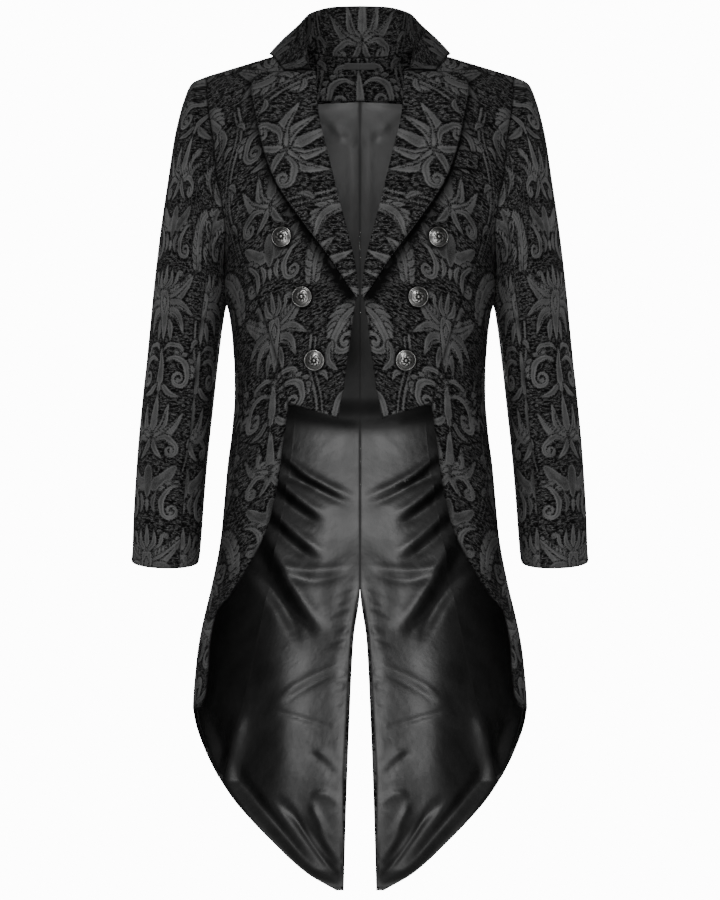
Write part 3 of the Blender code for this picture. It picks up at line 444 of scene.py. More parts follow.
# %% The repeat
def draw_repeat():
    t = Tile()
    # Far axis: two feathered scrolls rise to a great palmette with hanging leaves.
    arch = [(57, 338), (62, 306), (76, 280), (98, 264)]
    t.fringe(arch, 17, 10, -1, 4.8, sweep=1.0, gap=1.3, tone=0.6)
    t.fringe(arch, 13, 8, 1, 4.4, sweep=1.1, gap=1.3, tone=0.5)
    t.crest(arch, 5.4, 17, 1.35, 1, gap=1.4, tone=0.75)
    t.palmette(130, 322, -90, 220, 13, 54, 5.6, 0.34, gap=1.4, tone=0.6)
    t.palmette(130, 320, -90, 120, 5, 32, 4.6, 0.14, gap=1.3, tone=0.85)
    t.leaf([(128, 318), (110, 324), (90, 346)], 7.0, gap=1.4, tone=0.5)
    t.vein([(122, 321), (108, 328), (96, 340)])
    t.leaf([(129, 322), (116, 336), (108, 360)], 6.5, gap=1.4, tone=0.65)
    t.vein([(123, 330), (116, 340), (111, 350)])
    t.leaf([(130, 320), (130, 338), (130, 366)], 7, gap=1.4, tone=0.8)
    t.crest([(106, 320), (88, 326), (80, 318)], 3.6, 9, 1.1, 1, tone=0.6)
    # A swag of feathered leaves ends in two big curls.
    swag = [(127, 36), (112, 50), (94, 60), (80, 78)]
    t.fringe(swag, 20, 9, 1, 5.2, sweep=1.0, gap=1.3, tone=0.6)
    t.fringe(swag, 14, 8, -1, 4.4, sweep=1.1, gap=1.3, tone=0.5)
    t.crest(swag, 6.0, 17, 1.35, -1, gap=1.4, tone=0.8)
    t.vein([(119, 45), (104, 57), (92, 65)])
    t.leaf([(104, 62), (112, 78), (128, 84)], 6.0, gap=1.4, tone=0.55)
    t.vein([(107, 68), (114, 77), (121, 81)])
    t.leaf([(76, 84), (72, 104), (84, 124)], 5.5, gap=1.4, tone=0.5)
    t.vein([(75, 91), (75, 104), (80, 114)])
    t.leaf([(130, 134), (130, 116), (130, 92)], 5.5, tone=0.8)
    t.crest([(129, 140), (118, 132), (110, 120)], 4.2, 9, 1.2, 1, gap=1.4, tone=0.7)
    t.leaf([(122, 138), (108, 138), (90, 126)], 4.6, gap=1.4, tone=0.5)
    # A bouquet hangs between two scrolls.
    t.palmette(130, 148, 90, 180, 11, 50, 5.4, -0.16, gap=1.4, tone=0.6)
    t.palmette(130, 148, 90, 70, 3, 34, 4.6, 0.0, gap=1.3, tone=0.85)
    loop = [(126, 150), (106, 148), (88, 158), (82, 180)]
    t.fringe(loop, 12, 8, -1, 4.2, sweep=0.9, gap=1.3, tone=0.5)
    t.crest(loop, 4.8, 15, 1.3, 1, gap=1.4, tone=0.7)
    t.fringe([(84, 190), (82, 208), (92, 226)], 15, 6, 1, 4.2, sweep=0.9, gap=1.3, tone=0.5)
    t.leaf([(83, 184), (82, 212), (102, 240)], 5.5, gap=1.4, tone=0.6)
    t.vein([(83, 194), (85, 212), (95, 228)])
    t.leaf([(130, 250), (116, 240), (108, 216)], 5.5, gap=1.4, tone=0.6)
    t.vein([(124, 245), (116, 236), (111, 224)])
    t.leaf([(130, 254), (130, 234), (130, 206)], 5.0, gap=1.4, tone=0.8)
    t.crest([(128, 258), (118, 256), (112, 262)], 3.0, 6, 1.0, 1, tone=0.6)
    # Two fine stems wave down between the axes, with small leaves.
    t.stem([(50, 66), (47, 104), (58, 150), (62, 190), (54, 226), (46, 258)], 1.6, 1.1, gap=1.6, tone=0.7)
    t.stem([(56, 70), (53, 104), (64.5, 150), (68, 192), (60, 230), (51, 262)], 1.2, 0.9, gap=1.4, tone=0.6)
    for x, y, out in ((60, 116, 1), (62, 166, -1), (70, 176, 1), (61, 214, -1), (52, 90, -1)):
        t.leaf([(x, y), (x + 7 * out, y + 4), (x + 11 * out, y + 15)], 3.0, gap=1.5, tone=0.55)
    # Near axis: an orchid with a fringed crown and an almond eye.
    t.fringe([(2, 34), (18, 30), (34, 22), (46, 6)], 12, 9, -1, 3.6, sweep=0.6, gap=1.2, tone=0.6)
    t.leaf([(0, 42), (22, 34), (50, 4)], 7.5, gap=1.3, tone=0.6)
    t.vein([(8, 38), (22, 32), (36, 19)])
    t.leaf([(2, 46), (24, 44), (46, 60)], 6.5, gap=1.4, tone=0.55)
    t.vein([(8, 45), (22, 46), (36, 53)])
    t.leaf([(2, 52), (20, 58), (30, 84)], 6.5, gap=1.4, tone=0.6)
    t.vein([(8, 55), (18, 61), (25, 74)])
    t.leaf([(2, 60), (9, 74), (12, 96)], 4.6, gap=1.4, tone=0.55)
    t.leaf([(0, 20), (0, 46), (0, 96)], 8.0, gap=1.4, tone=0.8)
    for side in (-1, 1):
        t.vein([(0, 30), (3.6 * side, 40), (0, 56)], 0.8)
    t.leaf([(0, 22), (0, 8), (0, -12)], 4.0, gap=1.4, tone=0.8)
    t.leaf([(3, 22), (10, 12), (10, -6)], 3.4, gap=1.4, tone=0.6)
    t.crest([(8, 24), (18, 14), (20, 4)], 2.8, 5, 1.0, 1, gap=1.3, tone=0.6)
    # Curls back to back about a flame.
    t.crest([(2, 108), (10, 98), (24, 98)], 3.4, 8, 1.2, 1, tone=0.65)
    t.fringe([(10, 120), (26, 114), (40, 122), (44, 138)], 10, 6, -1, 3.8, sweep=0.8, gap=1.3, tone=0.5)
    t.crest([(2, 122), (18, 114), (34, 120), (40, 136)], 4.6, 13, 1.35, 1, tone=0.75)
    t.leaf([(0, 158), (0, 134), (0, 100)], 5.4, tone=0.8)
    t.leaf([(6, 150), (16, 160), (34, 164)], 4.0, tone=0.5)
    # A lily of broad leaves with curls below.
    t.leaf([(0, 216), (0, 192), (0, 160)], 6.4, gap=1.5, tone=0.8)
    t.leaf([(2, 216), (15, 202), (19, 172)], 6.0, gap=1.5, tone=0.6)
    t.vein([(6, 211), (14, 200), (17, 184)])
    t.leaf([(2, 218), (24, 210), (42, 182)], 6.6, gap=1.5, tone=0.65)
    t.vein([(10, 215), (24, 206), (35, 192)])
    t.crest([(2, 222), (20, 216), (34, 224)], 4.2, 10, 1.25, 1, gap=1.5, tone=0.55)
    t.leaf([(1, 218), (8, 232), (20, 244)], 4.0, gap=1.4, tone=0.6)
    # A smooth two-winged leaf with a drop.
    t.leaf([(-4, 264), (14, 274), (38, 252)], 9.0, tip=0.55, hatch=14.0, tone=0.4)
    t.leaf([(0, 252), (0, 266), (0, 290)], 7.5, gap=-0.6, tip=0.55, hatch=14.0, tone=0.4)
    t.leaf([(0, 294), (0, 300), (0, 310)], 3.0, tone=0.85)
    tail = [(44, 274), (30, 280), (20, 294), (20, 308)]
    t.fringe(tail, 10, 6, 1, 3.6, sweep=0.9, gap=1.2, tone=0.5)
    t.crest(tail, 4.0, 11, 1.3, -1, tone=0.7)
    t.leaf([(12, 286), (8, 298), (12, 312)], 3.2, tone=0.55)
    return t


tile = draw_repeat()
print("motif covers", round(float((tile.field > 0).mean()), 2), "of the cloth")


# %% Reading the repeat at a place on the cloth
SWAY = 3.0          # no row of flowers is quite straight


def damask_at(across, down):
    """The tile's distance, thread phase and tone at cloth places in millimetres."""
    sway_x = SWAY * np.sin(down / 41 + np.sin(across / 57))
    sway_y = SWAY * np.sin(across / 37 + np.sin(down / 61))
    x = np.abs((across + sway_x + TILE_HALF) % (2 * TILE_HALF) - TILE_HALF)
    y = (down + sway_y) % TILE_HIGH
    i, j = np.floor(x).astype(int), np.floor(y).astype(int)
    fx, fy = x - i, y - j
    i1, j0, j1 = np.minimum(i + 1, TILE_HALF), j % TILE_HIGH, (j + 1) % TILE_HIGH
    i = np.minimum(i, TILE_HALF)
    field = tile.field
    distance = ((field[j0, i] * (1 - fx) + field[j0, i1] * fx) * (1 - fy)
                + (field[j1, i] * (1 - fx) + field[j1, i1] * fx) * fy)
    near = np.where(fy > 0.5, j1, j0), np.where(fx > 0.5, i1, i)
    return np.stack([distance, tile.streak[near], tile.tone[near]], -1)


print("at the flower's heart:", damask_at(np.array(0.0), np.array(74.0)).round(2))

# %% [markdown]
# ## Shader groups
# The ground of the damask is crinkled and its motif is a smooth satin weave, so the two differ less in
# colour than in how they catch the light. Both come from one group, because front, sleeve and collar
# are cut from the same bolt. A group gives out colours, roughness and heights, and each material keeps
# its own Principled shader.

# %% Node helpers
def new_group(name, inputs, outputs):
    group = bpy.data.node_groups.new(name, "ShaderNodeTree")
    for label, kind, value in inputs:
        made = group.interface.new_socket(label, in_out="INPUT", socket_type="NodeSocket" + kind)
        made.default_value = value
    for label, kind in outputs:
        group.interface.new_socket(label, in_out="OUTPUT", socket_type="NodeSocket" + kind)
    return group, group.nodes.new("NodeGroupInput"), group.nodes.new("NodeGroupOutput")


def feed(tree, made, inputs):
    """Gives a node its inputs; each is a value or a socket to link from."""
    for key, value in inputs.items():
        if isinstance(value, bpy.types.NodeSocket):
            tree.links.new(value, made.inputs[key])
        else:
            made.inputs[key].default_value = value


def node(tree, kind, inputs=None, **settings):
    made = tree.nodes.new("ShaderNode" + kind)
    for key, value in settings.items():
        setattr(made, key, value)
    feed(tree, made, inputs or {})
    return made


def sum_of(tree, how, *values, clamp=False):
    return node(tree, "Math", dict(enumerate(values)), operation=how, use_clamp=clamp).outputs[0]


def times_plus(tree, value, factor, added, clamp=False):
    return sum_of(tree, "MULTIPLY_ADD", value, factor, added, clamp=clamp)


def ramp(tree, value, low, high, out_low=0.0, out_high=1.0):
    """Rises smoothly from out_low to out_high as the value goes from low to high."""
    inputs = {"Value": value, "From Min": low, "From Max": high, "To Min": out_low, "To Max": out_high}
    return node(tree, "MapRange", inputs, interpolation_type="SMOOTHSTEP").outputs[0]


def blend_of(tree, factor, first, second):
    """A colour between two; 6 and 7 are the mix node's colour inputs."""
    return node(tree, "Mix", {0: factor, 6: first, 7: second}, data_type="RGBA").outputs[2]


def part_of(tree, vector, which):
    return node(tree, "SeparateXYZ", {0: vector}).outputs[which]


def stretched(tree, place, factors):
    return node(tree, "VectorMath", {0: place, 1: factors}, operation="MULTIPLY").outputs[0]


def noise(tree, place, scale=1.0, detail=2.0, **more):
    return node(tree, "TexNoise", {"Vector": place, "Scale": scale, "Detail": detail, **more}).outputs[0]


def grey(level):
    return (level, level, level, 1.0)


print("helpers ready")


# %% Crinkled ground
def make_crinkle():
    """Short slubs that run across the cloth, broken up, in two sizes; place is in millimetres."""
    group, given, result = new_group("crinkled ground", [("Place", "Vector", (0, 0, 0))],
                                     [("Slub", "Float"), ("Speck", "Float")])
    place = given.outputs["Place"]
    slub = noise(group, stretched(group, place, (0.17, 0.42, 0.3)), Roughness=0.55, Distortion=0.9)
    speck = noise(group, stretched(group, place, (0.55, 1.05, 1.0)), Roughness=0.6)
    feed(group, result, {"Slub": ramp(group, slub, 0.42, 0.60), "Speck": ramp(group, speck, 0.42, 0.62)})
    return group


CRINKLE = make_crinkle()
print("group:", CRINKLE.name)


# %% Damask weave
def make_damask_weave():
    """Ground and motif from the tile's values at a place."""
    group, given, result = new_group(
        "damask weave",
        # one input carries painted shade, which darkens the cloth's colour towards the outline's
        [("Place", "Vector", (0, 0, 0)), ("Tile", "Vector", (0, 0, 0)), ("Painted shade", "Float", 0.0),
         ("Ground dark", "Color", grey(0.004)), ("Ground light", "Color", grey(0.05)),
         ("Motif dark", "Color", grey(0.02)), ("Motif light", "Color", grey(0.08)),
         ("Outline", "Color", grey(0.003))],
        [("Color", "Color"), ("Roughness", "Float"), ("Height", "Float")])
    given = given.outputs
    distance, streak, tone = node(group, "SeparateXYZ", {0: given["Tile"]}).outputs
    slub, speck = node(group, "Group", {"Place": given["Place"]}, node_tree=CRINKLE).outputs
    # The motif's edge is ragged, as the slubs and specks of the ground run into it.
    ragged = times_plus(group, times_plus(group, slub, 0.45, speck), 1.15,
                        sum_of(group, "SUBTRACT", distance, 0.55))
    motif = ramp(group, ragged, -0.35, 0.65)
    # The ground: painted sheen, with slubs painted lit and bright specks on them.
    rough_light = sum_of(group, "MULTIPLY", slub, times_plus(group, speck, 0.75, 0.25), clamp=True)
    ground = blend_of(group, rough_light, given["Ground dark"], given["Ground light"])
    # The motif: each stroke has its tone, and fine thread lines follow it.
    line = sum_of(group, "ABSOLUTE", sum_of(group, "SUBTRACT", sum_of(group, "FRACT", streak), 0.5))
    thread = ramp(group, line, 0.02, 0.20)
    drift = ramp(group, noise(group, given["Place"], 0.045), 0.3, 0.7)
    lit = times_plus(group, drift, 0.45, times_plus(group, tone, 0.75, -0.22))
    lit = sum_of(group, "MULTIPLY", lit, times_plus(group, thread, 0.5, 0.5))
    # Painted highlights: a bright band just inside the motif's edge, and bright specks of sheen over it.
    inward = sum_of(group, "ABSOLUTE", sum_of(group, "SUBTRACT", distance, 1.1))
    rim = ramp(group, inward, 1.3, 0.3, 0.0, 0.28)
    lit = times_plus(group, speck, 0.34, sum_of(group, "ADD", lit, rim))
    lit = sum_of(group, "SUBTRACT", lit, 0.07, clamp=True)
    figure = blend_of(group, lit, given["Motif dark"], given["Motif light"])
    # A dark outline lies just outside the edge, and painted shade darkens the cloth as much.
    outside = sum_of(group, "ABSOLUTE", sum_of(group, "ADD", ragged, 1.15))
    outline = sum_of(group, "MULTIPLY", ramp(group, outside, 1.65, 0.45), times_plus(group, slub, -0.45, 1.0))
    dark = sum_of(group, "MAXIMUM", outline, given["Painted shade"])
    coloured = blend_of(group, dark, blend_of(group, motif, ground, figure), given["Outline"])
    roughness = times_plus(group, speck, -0.08, times_plus(group, motif, -0.44, 0.92))
    # Heights in millimetres: the motif lies smooth and proud, the ground is puckered.
    bumps = times_plus(group, slub, 0.60, sum_of(group, "MULTIPLY", speck, 0.30))
    pucker = sum_of(group, "MULTIPLY", bumps, times_plus(group, motif, -0.85, 1.0))
    plump = ramp(group, distance, -1.1, 2.2, 0.0, 0.55)
    grooved = times_plus(group, sum_of(group, "MULTIPLY", thread, motif), 0.10, plump)
    feed(group, result, {"Color": coloured, "Roughness": roughness,
                         "Height": sum_of(group, "ADD", pucker, grooved)})
    return group


WEAVE = make_damask_weave()
print("group:", WEAVE.name)

# %% [markdown]
# ## Materials
# Damask, satin, label cloth and thread here, and the buttons' silver further down. A piece of cloth
# carries two values at each vertex. One is its place in the cut, across and down in millimetres, with
# how much painted shade lies there as the third number. The other is what the tile says there.
# Materials read them by name, so one material serves every panel.

# %% Cloth materials
def new_material(name, **sockets):
    made = bpy.data.materials.new(name)
    made.use_nodes = True
    shader = made.node_tree.nodes["Principled BSDF"]
    for key, value in sockets.items():
        shader.inputs[key.replace("_", " ")].default_value = value
    return made, made.node_tree, shader


def relief(tree, height, shader, depth=0.001):
    """Bumps from heights; `depth` is what a height of 1 stands for, in metres."""
    bump = node(tree, "Bump", {"Height": height, "Distance": depth, "Strength": 1.0})
    feed(tree, shader, {"Normal": bump.outputs[0]})


def read(tree, name):
    return node(tree, "Attribute", attribute_name=name).outputs["Vector"]


def make_damask():
    made, tree, shader = new_material("damask", Specular_IOR_Level=0.14)
    place = read(tree, "place")
    levels = {"Ground dark": 0.0005, "Ground light": 0.13, "Motif dark": 0.022, "Motif light": 0.115,
              "Outline": 0.0004}
    # the place's third number is painted shade
    inputs = {"Place": place, "Painted shade": part_of(tree, place, 2), "Tile": read(tree, "tile")}
    inputs.update((key, grey(level)) for key, level in levels.items())
    weave = node(tree, "Group", inputs, node_tree=WEAVE).outputs
    feed(tree, shader, {"Base Color": weave["Color"], "Roughness": weave["Roughness"]})
    relief(tree, weave["Height"], shader)
    return made


def make_satin():
    """Satin has fine warp floats, so its sheen is smooth down the cloth and it is never quite even."""
    made, tree, shader = new_material("satin", Specular_IOR_Level=0.6)
    place = read(tree, "place")
    # painted shade: the satin is coloured darker, and made rougher, at seams, behind the fronts and at the
    # tips
    painted_shade_here = part_of(tree, place, 2)      # dark and dull at seams, behind the fronts, at the tips
    warp, cloud = noise(tree, stretched(tree, place, (1.9, 0.12, 1.0))), noise(tree, place, 0.03, 3.0)
    light = times_plus(tree, warp, 0.35, ramp(tree, cloud, 0.3, 0.7, 0.0, 0.5))
    light = sum_of(tree, "MULTIPLY", light, sum_of(tree, "SUBTRACT", 1.0, painted_shade_here))
    rough = ramp(tree, cloud, 0.25, 0.75, 0.34, 0.41)
    feed(tree, shader, {"Base Color": blend_of(tree, light, grey(0.0015), grey(0.007)),
                        "Roughness": times_plus(tree, painted_shade_here, 0.6, rough, clamp=True)})
    swell = sum_of(tree, "MULTIPLY", noise(tree, place, 0.045), 0.55)
    relief(tree, times_plus(tree, warp, 0.03, swell), shader)
    return made


def make_woven():
    """Black ribbon with a fine rib, left bare."""
    made, tree, shader = new_material("label cloth", Roughness=0.6)
    rib = noise(tree, stretched(tree, read(tree, "place"), (0.3, 2.2, 1.0)))
    feed(tree, shader, {"Base Color": blend_of(tree, rib, grey(0.03), grey(0.08))})
    relief(tree, rib, shader, 0.0003)
    return made


def make_thread():
    """Sewing thread: a plain black twist with a little gloss."""
    made, tree, shader = new_material("thread", Roughness=0.45)
    twist = noise(tree, node(tree, "TexCoord").outputs["Object"], 900.0, 1.0)
    feed(tree, shader, {"Base Color": blend_of(tree, twist, grey(0.03), grey(0.09))})
    return made


DAMASK, SATIN, WOVEN, THREAD = make_damask(), make_satin(), make_woven(), make_thread()
print("cloth materials:", [m.name for m in (DAMASK, SATIN, WOVEN, THREAD)])

# %% [markdown]
# ## From a patch to a sheet of cloth
# On the bench each panel is one cut piece with a face and a back. Here a panel starts as rows of
# (angle, drop) between two edges. The face gets close rows, so that the damask's outlines stay sharp,
# and the back only every second to sixth of them, because nothing so fine shows there. A turned rim
# joins them.

# %% Rows between two edges
FINE_STEPS, FOOT_FADE = 24, 30


def even_rows(left, right, knots, spacing, keep=()):
    """Row numbers, not whole ones, that lie evenly along two edges; `keep` are rows to hit."""
    fine = np.linspace(0, knots, knots * FINE_STEPS + 1)
    run = [np.linalg.norm(np.diff(bare_point(*edge(fine)), axis=0), axis=1) for edge in (left, right)]
    length = np.concatenate([[0], np.cumsum((run[0] + run[1]) / 2)])
    count = max(4, int(round(length[-1] / spacing)))
    rows = np.interp(np.linspace(0, length[-1], count + 1), length, fine)
    for row in keep:
        rows[np.argmin(np.abs(rows - row))] = row
    return rows


def patch(left, right, rows, knots, cols, top=None):
    """Angles and drops between two edges, bowed at the top to a shaped edge that fades."""
    u, v = np.linspace(0, 1, cols + 1), (rows / knots)[:, None]
    start, stop = left(rows), right(rows)
    grid = [(1 - u) * a[:, None] + u * b[:, None] for a, b in zip(start, stop)]
    if top is not None:
        bow = [line - ((1 - u) * line[0] + u * line[-1]) for line in top(u)]
        grid = [g + (1 - v) ** 4 * b for g, b in zip(grid, bow)]
    return grid[0], grid[1]


def narrowed(grid, left, bottom, spacing):
    """Draws a patch in by lengths at its left edge and its foot, and spreads the other columns to fit."""
    out = []
    for values in grid:
        rows, cols = values.shape
        width = np.linspace(0, 1, cols)
        pull = np.broadcast_to(np.asarray(left, float).reshape(-1, 1), (rows, 1))
        values = values + (values[:, 1:2] - values[:, :1]) * (1 - width) * pull / spacing
        fade = np.clip(1 - np.arange(rows)[::-1] / FOOT_FADE, 0, 1)[:, None]
        values = values - (values[-1:] - values[-2:-1]) * fade * bottom / spacing
        out.append(values)
    return out


# %% Places on the cloth
TURNS, DROPS, LOWEST = 180, 226, 1.13       # cells of a table of angles and drops, and its last drop


def cloth_tables():
    """Distances round the body and down it, over the table."""
    angles, drops = np.linspace(0, np.pi, TURNS + 1), np.linspace(0, LOWEST, DROPS + 1)
    points = bare_point(angles[None, :], drops[:, None])
    return run_along(points, 1), run_along(points, 0)


AROUND, DOWN = cloth_tables()


def look_up(table, angle, drop):
    a = np.clip(angle / np.pi * TURNS, 0, TURNS - 0.001)
    d = np.clip(drop / LOWEST * DROPS, 0, DROPS - 0.001)
    i, j = a.astype(int), d.astype(int)
    a, d = a - i, d - j
    return ((table[j, i] * (1 - a) + table[j, i + 1] * a) * (1 - d)
            + (table[j + 1, i] * (1 - a) + table[j + 1, i + 1] * a) * d)


def cut_place(angle, drop, back=False):
    """Across and down the cut in millimetres, from the centre front or the centre back."""
    across = look_up(AROUND, angle, drop)
    if back:
        across = look_up(AROUND, np.full_like(angle, np.pi), drop) - across
    return across * 1000, look_up(DOWN, angle, drop) * 1000


print("waist, half way round:", round(float(look_up(AROUND, np.array(np.pi), np.array(0.42))), 3))


# %% Meshes and pieces
PIECES = {}


def new_mesh(name, points, faces, **values):
    """A mesh with vectors at its points, such as their place on the cloth."""
    mesh = bpy.data.meshes.new(name)
    mesh.from_pydata(points.reshape(-1, 3).tolist(), [], faces)
    for label, vectors in values.items():
        mesh.attributes.new(label, "FLOAT_VECTOR", "POINT").data.foreach_set("vector", vectors.ravel())
    return mesh


def smoothed(mesh, sharp):
    """Smooth shading that leaves edges sharper than `sharp` degrees as they are."""
    mesh.shade_smooth()
    mesh.set_sharp_from_angle(angle=math.radians(sharp))
    return mesh


def in_scene(name, data):
    made = bpy.data.objects.new(name, data)
    bpy.context.scene.collection.objects.link(made)
    return made


def add_piece(name, mesh, finishes, slot, nodes):
    """A piece of the coat, in its materials; it stands for its nodes in the frame."""
    made = in_scene(name, mesh)
    for finish in finishes:
        mesh.materials.append(finish)
    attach(made, "root")
    if nodes:
        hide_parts(*nodes)
    PIECES[name] = made
    return made


def away_from(x, y, z_top):
    """Points away from an upright axis, or from its top end above that height."""
    def outward(point):
        return point - np.array([x * np.sign(point[0]), y, min(point[2], z_top)])
    return outward


BODY_OUT = away_from(0.0, 0.0, -0.06)
print("out of the chest:", BODY_OUT(bare_point(0.0, 0.2)).round(3))


# %% Closed sheets
SPREAD = {}         # how wide and how long each piece is along its own threads
SHEET_SHARP = 55


def sheet_mesh(name, face, thickness, place, tile_values, outward, step=4, rim=0.0005):
    """A face of rows and columns, a coarser back `thickness` behind it, and a rim between them."""
    rows, cols = face.shape[:2]
    SPREAD[name] = [run_along(face, axis).max() for axis in (1, 0)]
    normal = unit(np.cross(np.gradient(face, axis=1), np.gradient(face, axis=0)))
    middle = normal[rows // 2, cols // 2]
    flip = np.dot(middle, outward(face[rows // 2, cols // 2])) < 0
    if flip:
        normal = -normal
    edge = np.zeros((rows, cols), bool)
    edge[[0, -1], :] = edge[:, [0, -1]] = True
    front = face - normal * (edge[..., None] * rim)
    keep_rows = np.union1d(np.arange(0, rows, step), rows - 1)
    keep_cols = np.union1d(np.arange(0, cols, step), cols - 1)
    kept = edge.copy()
    kept[np.ix_(keep_rows, keep_cols)] = True
    number = np.arange(rows * cols).reshape(rows, cols)
    back_number = np.full((rows, cols), -1)
    back_number[kept] = rows * cols + np.arange(kept.sum())
    quads = np.stack([number[:-1, :-1], number[:-1, 1:], number[1:, 1:], number[1:, :-1]], -1).reshape(-1, 4)
    faces = (quads[:, ::-1] if flip else quads).tolist()
    material = [0] * len(faces)
    loop = np.concatenate([number[0], number[1:, -1], number[-1, -2::-1], number[-2:0:-1, 0]])
    back_loop = back_number.reshape(-1)[loop]
    for a, b, c, d in zip(loop, np.roll(loop, -1), np.roll(back_loop, -1), back_loop):
        faces.append((a, b, c, d) if flip else (d, c, b, a))
        material.append(0)
    for r0, r1 in zip(keep_rows[:-1], keep_rows[1:]):
        for c0, c1 in zip(keep_cols[:-1], keep_cols[1:]):
            top = back_number[r0, c0:c1 + 1] if r0 == 0 else back_number[r0, [c0, c1]]
            low = back_number[r1, c0:c1 + 1] if r1 == rows - 1 else back_number[r1, [c0, c1]]
            left = back_number[r0 + 1:r1, c0] if c0 == 0 else []
            right = back_number[r0 + 1:r1, c1] if c1 == cols - 1 else []
            cell = [*top, *right, *low[::-1], *left[::-1]]
            faces.append(cell if flip else cell[::-1])
            material.append(1)
    points, place, tile_values = (
        np.concatenate([at_face.reshape(-1, 3), at_back[kept]]) for at_face, at_back in (
            (front, face - normal * thickness), (place, place), (tile_values, tile_values)))
    mesh = new_mesh(name, points, faces, place=place, tile=tile_values)
    mesh.polygons.foreach_set("material_index", material)
    return smoothed(mesh, SHEET_SHARP)


def as_place(across, down, shade=0.0):
    return np.stack(np.broadcast_arrays(across, down, shade), -1).astype(float)


def no_motif(face):
    return np.broadcast_to([GROUND, 0, 0.5], face.shape)


def painted_edge_shade(face, top=0.5, bottom=0.8, left=0.8, right=0.5, reach=0.0019):
    """How much painted shade lies along the cloth's edges and seams, 1 at a sharp edge; each edge has its own
    strength.
    """
    shade = np.zeros(face.shape[:2])
    for axis, first, last in ((1, left, right), (0, top, bottom)):
        run = run_along(face, axis)
        total = run[-1:, :] if axis == 0 else run[:, -1:]
        for distance, strength in ((run, first), (total - run, last)):
            shade = np.maximum(shade, strength * bell(distance, reach))
    return shade


def mirrored(points):
    return points * np.array([-1.0, 1.0, 1.0])


def cloth_piece(name, face, place, tile_values, thickness=CLOTH, outward=BODY_OUT, finishes=(DAMASK, DAMASK),
                slot="damask", step=4, rim=0.0005):
    """One sheet, dressed in a material for its face and one for its back."""
    mesh = sheet_mesh(name, face, thickness, place, tile_values, outward, step, rim)
    add_piece(f"{name}_cloth", mesh, finishes, slot, [name])
    print(name, face.shape[:2], "rows and columns")


def cloth_pair(name, face, place, tile_values, **cut):
    """The wearer's left sheet and its mirror image; both stand for their solids."""
    for side, points in (("l", face), ("r", mirrored(face))):
        cloth_piece(f"{name}_{side}", points, place, tile_values, **cut)


# %% Stitches
THREAD_RADIUS, THREAD_PROUD = 0.0005, 0.0002


def stitch_row(name, line, outward, length=0.0030, gap=0.0014):
    """Spindles of thread laid end to end along a line of points, half sunk in the cloth."""
    run = run_along(line)
    starts = np.arange(gap, run[-1] - length, length + gap)
    first, last = at_length(starts, run, line), at_length(starts + length, run, line)
    middle, along = (first + last) / 2, unit(last - first)
    out = np.array([outward(point) for point in middle])
    out = unit(out - along * (out * along).sum(-1, keepdims=True))
    side, middle = np.cross(along, out) * THREAD_RADIUS, middle + out * THREAD_PROUD
    out = out * THREAD_RADIUS
    corners = np.stack([first, middle + side, middle + out, middle - side, middle - out, last], 1)
    spindle = [(0, 1, 2), (0, 2, 3), (0, 3, 4), (0, 4, 1), (5, 2, 1), (5, 3, 2), (5, 4, 3), (5, 1, 4)]
    faces = [[6 * k + i for i in face] for k in range(len(starts)) for face in spindle]
    mesh = new_mesh(name, corners, faces)
    mesh.shade_smooth()
    add_piece(name, mesh, (THREAD,), "damask", [])
    print(name, len(starts), "stitches")


print("sheets and stitches ready")


# %% [markdown]
# ## Creases
# Worn cloth never lies still: it breaks at the elbow, drags from the button and hangs in soft
# troughs. Each crease here is one line in the front view with a width and a depth, and the sheet is
# moved along its normal by it. A cloth simulation would crease at random.

# %% Creases as soft troughs and ridges
STEP_PEAK = -2.33           # brings the highest place of a stepped crease to its depth


def creased(points, table, stepped=False):
    """How far the cloth moves out at points, in metres, from creases seen from the front.

    A stepped crease is a fold: the cloth sinks on its inner or upper side and rises on the other.
    """
    x, z = np.abs(points[..., 0]), points[..., 2]
    lift = np.zeros(x.shape)
    for x0, z0, x1, z1, width, depth, bend in zip(*table.values()):
        run_x, run_z = x1 - x0, z1 - z0
        length = math.hypot(run_x, run_z)
        t = ((x - x0) * run_x + (z - z0) * run_z) / length**2
        side = ((x - x0) * run_z - (z - z0) * run_x) / length
        side = side - bend * 4 * np.clip(t, 0, 1) * (1 - np.clip(t, 0, 1))
        ends = eased(1 - np.maximum(np.abs(t - 0.5) * 2 - 0.45, 0) / 0.75)
        shape = STEP_PEAK * side / width if stepped else 1.0
        lift += depth * ends * shape * bell(side, width)
    return lift


def ripple(points, size, scale, seed):
    """A slow, uneven swell, so that no stretch of cloth is quite smooth."""
    rng = np.random.default_rng(seed)
    lift = np.zeros(points.shape[:-1])
    for k in range(7):
        way = unit(rng.normal(size=3)) * scale * (0.7 + 0.25 * k)
        lift += np.sin(points @ way + rng.uniform(0, 6.28)) / (1 + 0.5 * k)
    return lift * size / 3


def lifted(points, lift, outward=BODY_OUT):
    """Moves a sheet along its own normal, to the side that `outward` points to."""
    normal = unit(np.cross(np.gradient(points, axis=1), np.gradient(points, axis=0)))
    middle = len(points) // 2, points.shape[1] // 2
    turn = np.sign(np.dot(normal[middle], outward(points[middle])))
    return points + turn * normal * lift[..., None]


ARMPIT_Z, ARMPIT_SWELL = -0.270, 0.085          # where the swell starts, and its rise with depth below


def armpit_swell(face, side):
    """Sleeve and body swell until they almost touch below the armpit.

    The side is 1 for the body and -1 for the sleeve.
    """
    x, z = side * np.abs(face[..., 0]), face[..., 2]
    swell = ARMPIT_SWELL * np.clip(ARMPIT_Z - z, 0, 1) * eased((z + 0.335) / 0.03)
    return swell * bell(x.max(axis=1, keepdims=True) - x, 0.006)


def fade_in(count, reach):
    """0 at both ends of a row of points, 1 past `reach` of it."""
    return eased(np.minimum(np.arange(count), np.arange(count)[::-1]) / max(count * reach, 1))


print("crease helpers ready")

